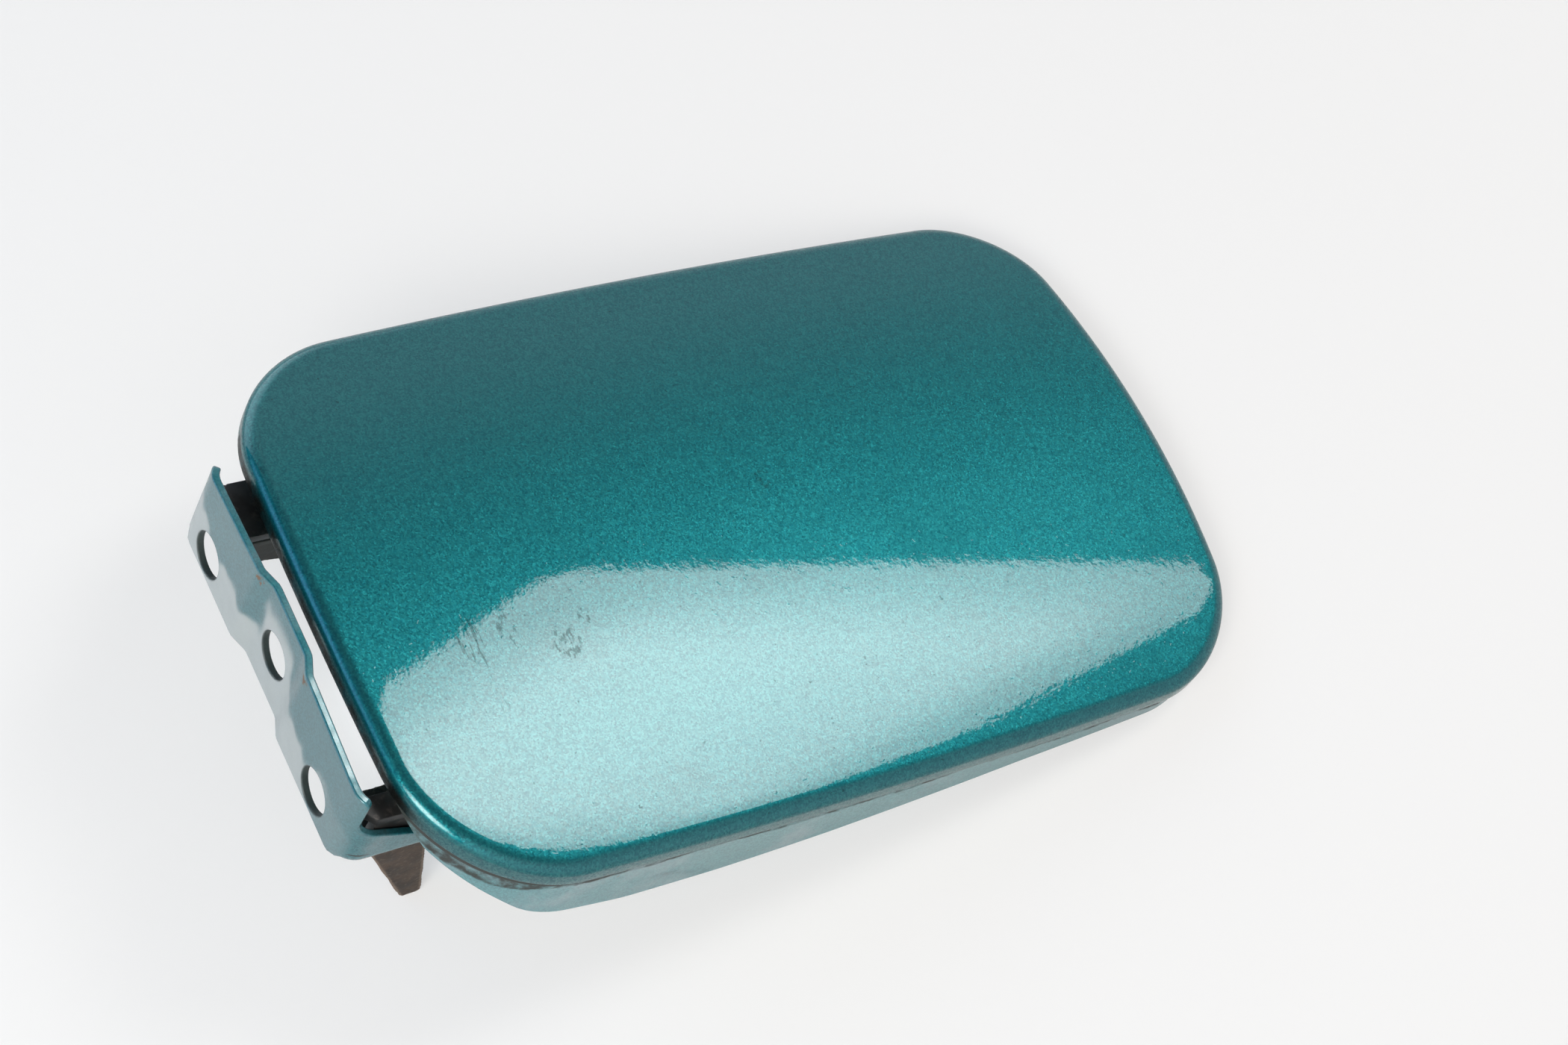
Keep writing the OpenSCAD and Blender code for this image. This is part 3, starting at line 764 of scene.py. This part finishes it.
def rimPoint(i, inset, shrink=1.0):
    return ((outline[i][0] + inwards[i][0] * inset) * shrink,
            (outline[i][1] + inwards[i][1] * inset) * shrink)


# One ring of the flap at an inset from its outline and a depth below the crown.
def flapRing(inset, drop, shrink=1.0):
    ring = []
    for i in range(rimCount):
        x, y = rimPoint(i, inset, shrink)
        deep = drop(i) if callable(drop) else drop
        ring.append((x + flap["middle"], y, crownAt(x, y) - deep))
    return ring


# outer skin: crowned sheet, rolled rim and a rounded hem
skinForm = {"crownRings": 30, "rollSteps": 16, "innerRings": 10, "hemSteps": 6}


def outerSkin():
    rim, reach, sheet = flap["rim"], flap["rimReach"], flap["sheet"]
    rings = []
    for k in range(1, skinForm["crownRings"]):
        rings.append(flapRing(reach, 0, k / skinForm["crownRings"]))
    steps = skinForm["rollSteps"]
    for k in range(steps + 1):
        a = math.radians(90 - 90 * k / steps)
        rings.append(flapRing(reach * (1 - math.cos(a)), rim * (1 - math.sin(a))))
    half = sheet / 2
    rings.append(flapRing(0, (rim + flap["rimDepth"]) / 2))
    for k in range(skinForm["hemSteps"] + 1):
        a = math.pi * k / skinForm["hemSteps"]
        rings.append(flapRing(half * (1 - math.cos(a)),
                              flap["rimDepth"] - half + half * math.sin(a)))
    bare = rim - sheet
    for k in range(steps // 2 + 1):
        a = math.radians(90 * k / (steps // 2))
        rings.append(flapRing(reach - (reach - sheet) * math.cos(a),
                              rim - bare * math.sin(a)))
    for k in range(skinForm["innerRings"] - 1, 0, -1):
        rings.append(flapRing(reach, sheet, k / skinForm["innerRings"]))
    points = [p for ring in rings for p in ring]
    faces = ringFaces(len(rings), rimCount)
    last = len(points)
    points.append((flap["middle"], 0, flap["top"]))
    points.append((flap["middle"], 0, flap["top"] - sheet))
    for i in range(rimCount):
        j = (i + 1) % rimCount
        faces.append((last, i, j))
        faces.append((last + 1, last - rimCount + j, last - rimCount + i))
    piece = formPiece("outerSkin", points, faces, skinPaint, "flap", "flap_paint",
                      "outer_skin")
    smooth(piece)
    return piece


# inner panel: floor with beads and vents, sloping wall, border and deep flange
# holes: distance along and across the lying flap, then the radius
panelForm = {
    "sheet": 0.9,
    "edge": 0.2,
    "floor": 7.2,
    "border": 8.0,
    "wall": 4.0,
    "turn": 0.6,
    "beadRise": 2.0,
    "beadY": 19.0,
    "beadLength": 77.3,
    "beadWidth": 11.0,
    "beadSlope": 2.2,
    "rowX": -6.0,
    "ventPitch": 25.8,
    "vent": 15.0,
    "bufferHoles": ((68.0, 36.2, 2.5), (68.0, -36.2, 2.5)),
    "catchHoles": ((41.0, 9.5, 2.0), (41.0, -9.5, 2.0)),
    "armHoles": ((-65.0, -24.2, 2.0), (-51.0, -24.2, 2.0),
                 (-65.0, 22.1, 2.0), (-51.0, 22.1, 2.0)),
    "floorGrid": 5.0,
    "floorClear": 1.2,
    "underCrown": 0.3,
    "wallSteps": 12,
    "flangeDrop": 14.8,
    "flangeLine": ((0, 0.22), (10, 0.42), (17, 0.6), (21, 0.76), (30, 0.88), (42, 1),
                   (62, 0.97), (84.6, 0.85), (127, 0.52), (162, 0.36), (179, 0)),
    "flangeStart": 30.2,
    "flangeRun": 11.0,
}


def lookUp(x, line):
    if x <= line[0][0]:
        return line[0][1]
    for (x0, y0), (x1, y1) in zip(line, line[1:]):
        if x <= x1:
            return y0 + (y1 - y0) * (x - x0) / (x1 - x0)
    return line[-1][1]


def flangeDepth(i):
    x, y = outline[i]
    along = x + halfLength
    near = (-2, -1, 0, 1, 2)
    share = sum(lookUp(along + step, panelForm["flangeLine"]) for step in near) / len(near)
    ramp = min(max((-y - panelForm["flangeStart"]) / panelForm["flangeRun"], 0), 1)
    return flap["rimDepth"] + panelForm["flangeDrop"] * share * ramp


def slotLoop(cx, cy, length, width):
    run = (length - width) / 2
    return (arc(cx + run, cy, width / 2, -90, 90, 16)
            + arc(cx - run, cy, width / 2, 90, 270, 16))


def innerPanel():
    form = panelForm
    floorTop = form["floor"] + form["sheet"]
    floorInset = flap["sheet"] + form["border"] + form["wall"]
    floorLoop = [(x, y) for x, y, z in flapRing(floorInset, 0)]
    middle = flap["middle"]
    rowX = middle + form["rowX"]
    creases, levels = [], []
    for side in (-1, 1):
        for k in range(7):
            inset = form["beadSlope"] * k / 6
            creases.append(slotLoop(rowX, side * form["beadY"],
                                    form["beadLength"] - 2 * inset,
                                    form["beadWidth"] - 2 * inset))
            levels.append(form["beadRise"] * easeInOut(k / 6))
    holes = [circle(rowX + k * form["ventPitch"], 0, form["vent"] / 2, 48)
             for k in (-1, 0, 1)]
    for x, y, radius in form["bufferHoles"] + form["catchHoles"] + form["armHoles"]:
        holes.append(circle(middle + x, y, radius, 24))
    loose = looseGrid(floorLoop, holes + creases, form["floorGrid"], form["floorClear"])
    flat, faces = flatSheet(floorLoop, holes, creases, loose)

    def floorHeight(p):
        for loop, level in zip(reversed(creases), reversed(levels)):
            if isInside(p, loop) or gapTo(p, loop) < 0.01:
                return floorTop + level
        return floorTop

    points = [(p[0], p[1], floorHeight(p)) for p in flat]
    top = flap["rim"] + form["underCrown"]
    rings = []
    for k in range(form["wallSteps"] + 1):
        t = k / form["wallSteps"]
        rings.append([(x, y, floorTop + (high - floorTop) * easeInOut(t))
                      for x, y, high in flapRing(floorInset - form["wall"] * t, top)])
    turn = form["turn"]
    for k in range(1, 6):
        rings.append(flapRing(flap["sheet"] + form["border"]
                              - (form["border"] - turn) * k / 5, top))
    for k in range(1, 5):
        a = math.radians(90 * k / 4)
        rings.append(flapRing(flap["sheet"] + turn * (1 - math.sin(a)),
                              top + turn * (1 - math.cos(a))))
    for share in (0.12, 0.3, 0.55, 0.8, 1.0):
        rings.append(flapRing(flap["sheet"], lambda i: top + turn
                              + (flangeDepth(i) - top - turn) * share))
    first = len(points)
    points += [p for ring in rings for p in ring]
    faces += [tuple(first + v for v in face) for face in ringFaces(len(rings), rimCount)]
    piece = formPiece("innerPanel", points, faces, panelPaint, "flap", "panel_paint",
                      "inner_panel")
    thicken(piece, form["sheet"], form["edge"], True)
    return piece


skin = outerSkin()
panel = innerPanel()
print("flap pressed:", len(skin.data.polygons) + len(panel.data.polygons), "faces")

# hinge bracket: one flat blank, bent round the corners and in at its feet
blank = {
    "sheet": 1.5,
    "edge": 0.4,
    "low": 36.9,
    "up": 34.8,
    "top": 16.3,
    "bottom": 5.2,
    "sag": 1.4,
    "bend": 5.0,
    "foot": 2.2,
    "joggle": 1.4,
    "joggleHalf": 6.4,
    "joggleRun": 4.4,
    "pivotX": 20.5,
    "pivotZ": 0.3,
    "pivot": 3.0,
    "hole": 4.3,
    "pitch": 48.0,
    "middleRise": 4.8,
    "shelf": (5.6, 17.5),
    "shelfReach": (11.3, 8.6),
    "shelfCorner": 4.0,
    "lead": 0.1,
    "slit": 0.35,
    "tip": 1.3,
    "neck": (1.6, 2.7, 1.2),
    "notch": (3.6, 7.6, 2.0),
    "notchTop": 1.6,
    "stopX": 12.6,
    "stopIn": 3.8,
    "stopNeck": 2.2,
    "grid": 0.75,
    "clear": 0.9,
}
quarter = math.pi / 2
lowEnd, upEnd = blank["bend"] - blank["low"], blank["up"] - blank["bend"]
footTop = blank["foot"] - blank["bottom"]


# Side view of an ear, from the foot of the plate round to its top edge.
def earSide(reach):
    b = blank
    earRadius = b["pivotZ"] + b["bottom"]
    start, end = b["shelf"]
    corner = b["shelfCorner"]
    neckIn, neckY, neck = b["neck"]
    notchX, notchY, notch = b["notch"]
    fold = footTop - quarter * b["foot"]
    tip = fold - (reach - b["foot"]) + corner
    side = [(0, -b["bottom"]), (b["lead"], -b["bottom"])]
    side += [(b["lead"] + (start - b["lead"]) * k / 10,
              -b["bottom"] + (fold + b["bottom"]) * easeInOut(k / 10))
             for k in range(1, 11)]
    side += arc(start + corner, tip, corner, 180, 270, 12)
    side += arc(end - corner, tip, corner, 270, 360, 12)
    side += [(end, footTop), (end + b["slit"], footTop),
             (end + b["slit"], -b["bottom"])]
    side += arc(b["pivotX"], b["pivotZ"], earRadius, -90, 150, 30)
    side += arc(b["pivotX"] - earRadius - neckIn, neckY, neck, -20, -112, 8)
    side += arc(notchX, notchY, notch, 248, 180, 10)
    side += [(b["notchTop"], b["top"] - b["sag"])]
    fine = [side[0]]
    for p in side[1:]:
        q = fine[-1]
        steps = max(1, int(math.dist(p, q) / b["grid"]))
        fine += [(q[0] + (p[0] - q[0]) * k / steps, q[1] + (p[1] - q[1]) * k / steps)
                 for k in range(1, steps + 1)]
    return fine


# How far along the flat blank a point of the ear lies past the plate's end.
def unrolled(x):
    bend = blank["bend"]
    if x < bend:
        return bend * math.acos(1 - max(x, 0) / bend)
    return quarter * bend + x - bend


def blankOutline():
    b = blank
    lowReach, upReach = b["shelfReach"]
    upper = [(upEnd + unrolled(x), z) for x, z in earSide(upReach)]
    lower = [(lowEnd - unrolled(x), z) for x, z in reversed(earSide(lowReach))]
    tipS, tipZ = upper[-1]
    soft = b["tip"]
    upper = ([p for p in upper if p[0] > tipS + 0.01 or p[1] < tipZ - soft]
             + arc(tipS - soft, tipZ - soft, soft, 0, 90, 6))
    tipS, tipZ = lower[0]
    lower = (arc(tipS + soft, tipZ - soft, soft, 90, 180, 6)
             + [p for p in lower if p[0] < tipS - 0.01 or p[1] < tipZ - soft])
    level = b["joggleHalf"] + b["joggleRun"]

    def topEdge(s):
        fall = min(max((abs(s) - level) / (upEnd - level), 0), 1)
        return b["top"] - b["sag"] * fall

    first, last = upper[-1][0], lower[0][0]
    steps = int((first - last) / b["grid"])
    top = [(first + (last - first) * k / steps, 0) for k in range(1, steps)]
    top = [(s, topEdge(s)) for s, z in top]
    steps = int((upEnd - lowEnd) / b["grid"])
    foot = [(lowEnd + (upEnd - lowEnd) * k / steps, -b["bottom"])
            for k in range(1, steps)]
    return upper + top + lower + foot


# Where a point of the flat blank lies once the bracket is bent.
def bent(s, z):
    b = blank
    if lowEnd <= s <= upEnd:
        rise = (b["joggleHalf"] + b["joggleRun"] - abs(s)) / b["joggleRun"]
        return b["joggle"] * creased(rise), s, z
    side = 1 if s > 0 else -1
    end = upEnd if s > 0 else lowEnd
    past = abs(s - end)
    if past < quarter * b["bend"]:
        turn = past / b["bend"]
        x, y = b["bend"] * (1 - math.cos(turn)), end + side * b["bend"] * math.sin(turn)
        inX, inY = math.cos(turn), -side * math.sin(turn)
    else:
        x, y = b["bend"] + past - quarter * b["bend"], end + side * b["bend"]
        inX, inY = 0, -side
    start, stop = b["shelf"]
    down = footTop - z
    if down <= 0 or x > stop + 0.01:
        return x, y, z
    first, full = unrolled(b["lead"]), unrolled(start)
    turned = quarter * easeInOut((past - first) / (full - first))
    a = min(down / b["foot"], turned)
    flat = down - a * b["foot"]
    inward = b["foot"] * (1 - math.cos(a)) + flat * math.sin(a)
    return (x + inX * inward, y + inY * inward,
            footTop - b["foot"] * math.sin(a) - flat * math.cos(a))


def hingeBracket():
    b = blank
    edge = blankOutline()
    holes = [circle(0, b["middleRise"], b["hole"]),
             circle(b["pitch"] / 2, 0, b["hole"]), circle(-b["pitch"] / 2, 0, b["hole"])]
    stopZ = footTop - quarter * b["foot"] - (b["stopIn"] - b["foot"])
    for sign, end in ((1, upEnd), (-1, lowEnd)):
        holes.append(circle(end + sign * unrolled(b["pivotX"]), b["pivotZ"], b["pivot"]))
        holes.append(circle(end + sign * unrolled(b["stopX"]), stopZ, b["stopNeck"], 28))
    loose = looseGrid(edge, holes, b["grid"], b["clear"])
    flat, faces = flatSheet(edge, holes, [], loose)
    faces = [tuple(reversed(face)) for face in faces]
    piece = formPiece("hingeBracket", [bent(*p) for p in flat], faces, bracketPaint,
                      "bracket", "bracket_paint", "hinge_bracket")
    thicken(piece, b["sheet"], b["edge"], False)
    return piece


bracket = hingeBracket()
print("bracket bent:", len(bracket.data.polygons), "faces")

# arms, rivets, catch and edge buffers keep their solids' forms, edges eased
small = (
    ("upperArm", "hinge_arm_upper", 0.35, armCoat, "flap", "arm_paint"),
    ("lowerArm", "hinge_arm_lower", 0.35, armCoat, "flap", "arm_paint"),
    ("pivotRivets", "pivot_rivets", 0.30, rivetSteel, "bracket", "rivet_steel"),
    ("armRivets", "arm_rivets", 0.25, rivetSteel, "flap", "rivet_steel"),
    ("catchTongue", "catch_hook", 0.30, catchZinc, "flap", "catch_steel"),
    ("catchRivets", "catch_rivets", 0.25, rivetSteel, "flap", "rivet_steel"),
    ("upperEdgeBuffer", "edge_buffer_upper", 0.45, edgeRubber, "flap", "buffer_rubber"),
    ("lowerEdgeBuffer", "edge_buffer_lower", 0.45, edgeRubber, "flap", "buffer_rubber"),
)
for row in small:
    eased(*row)
print("arms, rivets, catch and buffers eased:", len(small))

# stop buffers: torn, crumbling rubber
stopForm = {
    "facet": 1.1,
    "voxel": 0.34,
    "bulge": 0.18,
    "bulgeSize": 4.5,
    "crumble": 0.18,
    "crumbSize": 1.1,
    "tornEnds": 4.0,
    "middleShare": 0.25,
}


def stopBuffer(name, node, seed, finish):
    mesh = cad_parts[node].data.copy()
    piece = addPiece(name, mesh, finish, "bracket", "stop_rubber", node)
    facet = piece.modifiers.new("facets", "BEVEL")
    facet.width = stopForm["facet"] * mm
    facet.segments = 1
    facet.limit_method = "ANGLE"
    facet.angle_limit = math.radians(40)
    remesh = piece.modifiers.new("rubber", "REMESH")
    remesh.mode = "VOXEL"
    remesh.voxel_size = stopForm["voxel"] * mm
    relax = piece.modifiers.new("soft edges", "SMOOTH")
    relax.iterations = 3
    settle(piece)
    shift = Vector((seed * 3.7, seed * 1.3, seed * 5.1))
    low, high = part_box(node)
    for vertex in piece.data.vertices:
        p = vertex.co / mm
        broad = noise.noise(p / stopForm["bulgeSize"] + shift) * stopForm["bulge"]
        fine = noise.turbulence(p / stopForm["crumbSize"] + shift, 3, True)
        inside = min(vertex.co.y - low.y, high.y - vertex.co.y) / mm
        ends = 1.0 - min(1.0, inside / stopForm["tornEnds"])
        share = stopForm["middleShare"]
        rough = stopForm["crumble"] * (share + (1 - share) * ends)
        vertex.co += vertex.normal * (broad - fine * rough) * mm
    smooth(piece)


stopBuffer("upperStop", "stop_buffer_upper", 1, edgeRubber)
stopBuffer("lowerStop", "stop_buffer_lower", 2, stopRubber)
print("stop buffers torn")

# table, camera and light; directions are azimuth and elevation over the table
tableUp = Vector((-0.2258, -0.9742, 0))
tableRight = Vector((0.9742, -0.2258, 0))
tableFar = Vector((0, 0, 1))
cameraForm = {
    "at": (-0.19304, -0.43654, -0.20418),
    "turn": (113.872, 26.013, -23.880),
    "lens": 68.595,
    "sensor": 36,
    "clip": (0.01, 50),
}
tableForm = {
    "depth": -0.03607,
    "middle": 0.1,
    "size": 9.0,
    "paper": (0.66, 0.655, 0.64, 1),
    "shown": (1.0, 0.985, 0.985, 1),
    "shownGlow": 1.22,
    "shownShare": 0.42,
    "under": (0.97, 0.99, 1.0, 1),
    "underGlow": 1.6,
    "underReach": (1 / 0.080, 0, 1 / 0.043),
    "underFade": (1.0, 0.55),
}
lights = {
    "aim": (98.5, 0, 16.8),
    "softbox": {"toward": (17, 49), "away": 1.3, "faces": (62.2, 24.4), "roll": -1.6,
                "left": -0.209, "right": 0.486, "bottom": -0.218, "top": 0.41,
                "corner": 0.03, "fade": 0.016, "dimEdge": 0.56, "dimWidth": 0.17,
                "dimEnd": 0.76, "tint": (1.0, 0.985, 0.955, 1), "glow": 10.9},
    "even": {"dimEdge": 1.0, "dimWidth": 0.1, "dimEnd": 1.0},
    "leftBox": {"toward": (212, 42), "away": 0.9, "width": 0.62, "height": 0.62,
                "corner": 0.30, "fade": 0.24,
                "tint": (1.0, 0.98, 0.94, 1), "glow": 13.0},
    "leftCard": {"toward": (152, 34), "away": 0.9, "width": 0.9, "height": 0.8,
                 "corner": 0.39, "fade": 0.38,
                 "tint": (0.30, 0.62, 1.0, 1), "glow": 2.4},
}
# the room: its walls, then what covers them: direction, fade by cosine, colour
room = {
    "walls": (0.60, 0.625, 0.66, 1),
    "ceiling": ((0, 90), (0.62, 0.86), (0.11, 0.115, 0.12, 1)),
    "front": ((262, 12), (0.45, 0.95), (0.95, 0.96, 0.98, 1)),
    "window": ((98, 5), (0.78, 0.97), (1.75, 1.82, 1.90, 1)),
    "nearBox": ((14, 46), (0.84, 0.975), (0.05, 0.05, 0.052, 1)),
    "shown": (0.88, 0.88, 0.88, 1),
}


def toward(azimuth, elevation):
    a, e = math.radians(azimuth), math.radians(elevation)
    level = tableRight * math.cos(a) + tableFar * math.sin(a)
    return level * math.cos(e) + tableUp * math.sin(e)


# How far a point of a rounded sheet lies from its edge, as a share.
def rimFade(tree, here, form, radius, run, low):
    sides = []
    for axis, size in ((0, form["width"]), (1, form["height"])):
        away = math2(tree, "ABSOLUTE", here[axis], 0)
        over = math2(tree, "SUBTRACT", away, size / 2 - radius)
        sides.append(math2(tree, "MAXIMUM", over, 0.0))
    span = put(tree, "CombineXYZ", {0: sides[0], 1: sides[1]})
    return spread(tree, lengthOf(tree, span.outputs[0]), radius, radius - run, low, 1.0)


def newTree(owner):
    owner.use_nodes = True
    owner.node_tree.nodes.clear()
    return owner.node_tree


def addSheet(name, corners):
    mesh = bpy.data.meshes.new(name)
    mesh.from_pydata(corners, [], [(0, 1, 2, 3)])
    material = bpy.data.materials.new(name)
    mesh.materials.append(material)
    return addObject(name, mesh), newTree(material)


# A glowing sheet with its own axes and rounded corners, dimmer towards its edges.
def lightSheet(name, centre, across, upward, form):
    width, height = form["width"], form["height"]
    lamp, tree = addSheet(name, [(sx * width / 2, sy * height / 2, 0)
                                 for sx, sy in ((-1, 1), (1, 1), (1, -1), (-1, -1))])
    turn = Matrix((across, upward, across.cross(upward))).transposed().to_4x4()
    lamp.matrix_world = Matrix.Translation(centre) @ turn
    here = objectAxes(tree)
    edge = rimFade(tree, here, form, form["corner"], form["fade"], 0.0)
    dim = rimFade(tree, here, form, form["dimWidth"], form["dimWidth"], form["dimEdge"])
    end = spread(tree, here[0], -width / 2, 0.1, form["dimEnd"], 1.0)
    glow = put(tree, "Emission", {"Color": form["tint"],
                                  "Strength": times(tree, edge, dim, end, form["glow"])})
    hidden = strongest(tree, put(tree, "NewGeometry").outputs["Backfacing"],
                       put(tree, "LightPath").outputs["Is Camera Ray"])
    clear = put(tree, "BsdfTransparent")
    face = put(tree, "MixShader", {0: hidden, 1: glow.outputs[0], 2: clear.outputs[0]})
    put(tree, "OutputMaterial", {"Surface": face.outputs[0]})


def lightScene():
    aim = stand(*lights["aim"])
    box = lights["softbox"]
    ahead = -toward(*box["faces"])
    level = tableUp.cross(ahead).normalized()
    steep = ahead.cross(level)
    roll = math.radians(box["roll"])
    across = level * math.cos(roll) + steep * math.sin(roll)
    upward = steep * math.cos(roll) - level * math.sin(roll)
    centre = aim + toward(*box["toward"]) * box["away"]
    centre += across * (box["left"] + box["right"]) / 2
    centre += upward * (box["bottom"] + box["top"]) / 2
    lightSheet("softbox", centre, -across, upward,
               {**box, "width": box["right"] - box["left"],
                "height": box["top"] - box["bottom"]})
    for name in ("leftBox", "leftCard"):
        card = {**lights["even"], **lights[name]}
        back = toward(*card["toward"])
        across = tableUp.cross(back).normalized()
        lightSheet(name, aim + back * card["away"], across, back.cross(across), card)


def addCamera():
    camera = bpy.data.cameras.new("camera")
    camera.lens = cameraForm["lens"]
    camera.sensor_width = cameraForm["sensor"]
    camera.clip_start, camera.clip_end = cameraForm["clip"]
    holder = addObject("camera", camera)
    holder.location = cameraForm["at"]
    holder.rotation_euler = [math.radians(a) for a in cameraForm["turn"]]
    bpy.context.scene.camera = holder


# White paper, clear from below, that also lights the flap's hidden side.
def addTable():
    form = tableForm
    centre = tableUp * form["depth"] + tableRight * form["middle"]
    half = form["size"] / 2
    table, tree = addSheet("table", [
        centre + tableRight * sx * half + tableFar * sy * half
        for sx, sy in ((-1, -1), (1, -1), (1, 1), (-1, 1))])
    paper = put(tree, "BsdfDiffuse", {"Color": form["paper"]})
    lit = put(tree, "Emission", {"Color": form["shown"], "Strength": form["shownGlow"]})
    away = vectorMath(tree, "SUBTRACT", objectPoint(tree), stand(*lights["aim"]))
    far = lengthOf(tree, vectorMath(tree, "MULTIPLY", away, form["underReach"]))
    under = put(tree, "Emission", {
        "Color": form["under"],
        "Strength": times(tree, spread(tree, far, *form["underFade"]), form["underGlow"])})
    lower = put(tree, "AddShader", {0: paper.outputs[0], 1: under.outputs[0]})
    seen = times(tree, put(tree, "LightPath").outputs["Is Camera Ray"], form["shownShare"])
    face = put(tree, "MixShader", {0: seen, 1: lower.outputs[0], 2: lit.outputs[0]})
    back = put(tree, "NewGeometry").outputs["Backfacing"]
    clear = put(tree, "BsdfTransparent")
    sides = put(tree, "MixShader", {0: back, 1: face.outputs[0], 2: clear.outputs[0]})
    put(tree, "OutputMaterial", {"Surface": sides.outputs[0]})


def addWorld():
    world = bpy.data.worlds.new("studio")
    bpy.context.scene.world = world
    tree = newTree(world)
    looking = put(tree, "TexCoord").outputs["Generated"]
    soft = room["walls"]
    for name in ("ceiling", "front", "window", "nearBox"):
        direction, fade, colour = room[name]
        facing = put(tree, "VectorMath", {0: looking, 1: toward(*direction)},
                     operation="DOT_PRODUCT")
        soft = mixColour(tree, spread(tree, facing.outputs["Value"], *fade), soft, colour)
    path = put(tree, "LightPath").outputs["Is Camera Ray"]
    glow = put(tree, "Background", {"Color": mixColour(tree, path, soft, room["shown"])})
    put(tree, "OutputWorld", {"Surface": glow.outputs[0]})


addCamera()
addTable()
addWorld()
lightScene()
bpy.context.scene.view_settings.view_transform = "Standard"
print("camera, table and lights set")
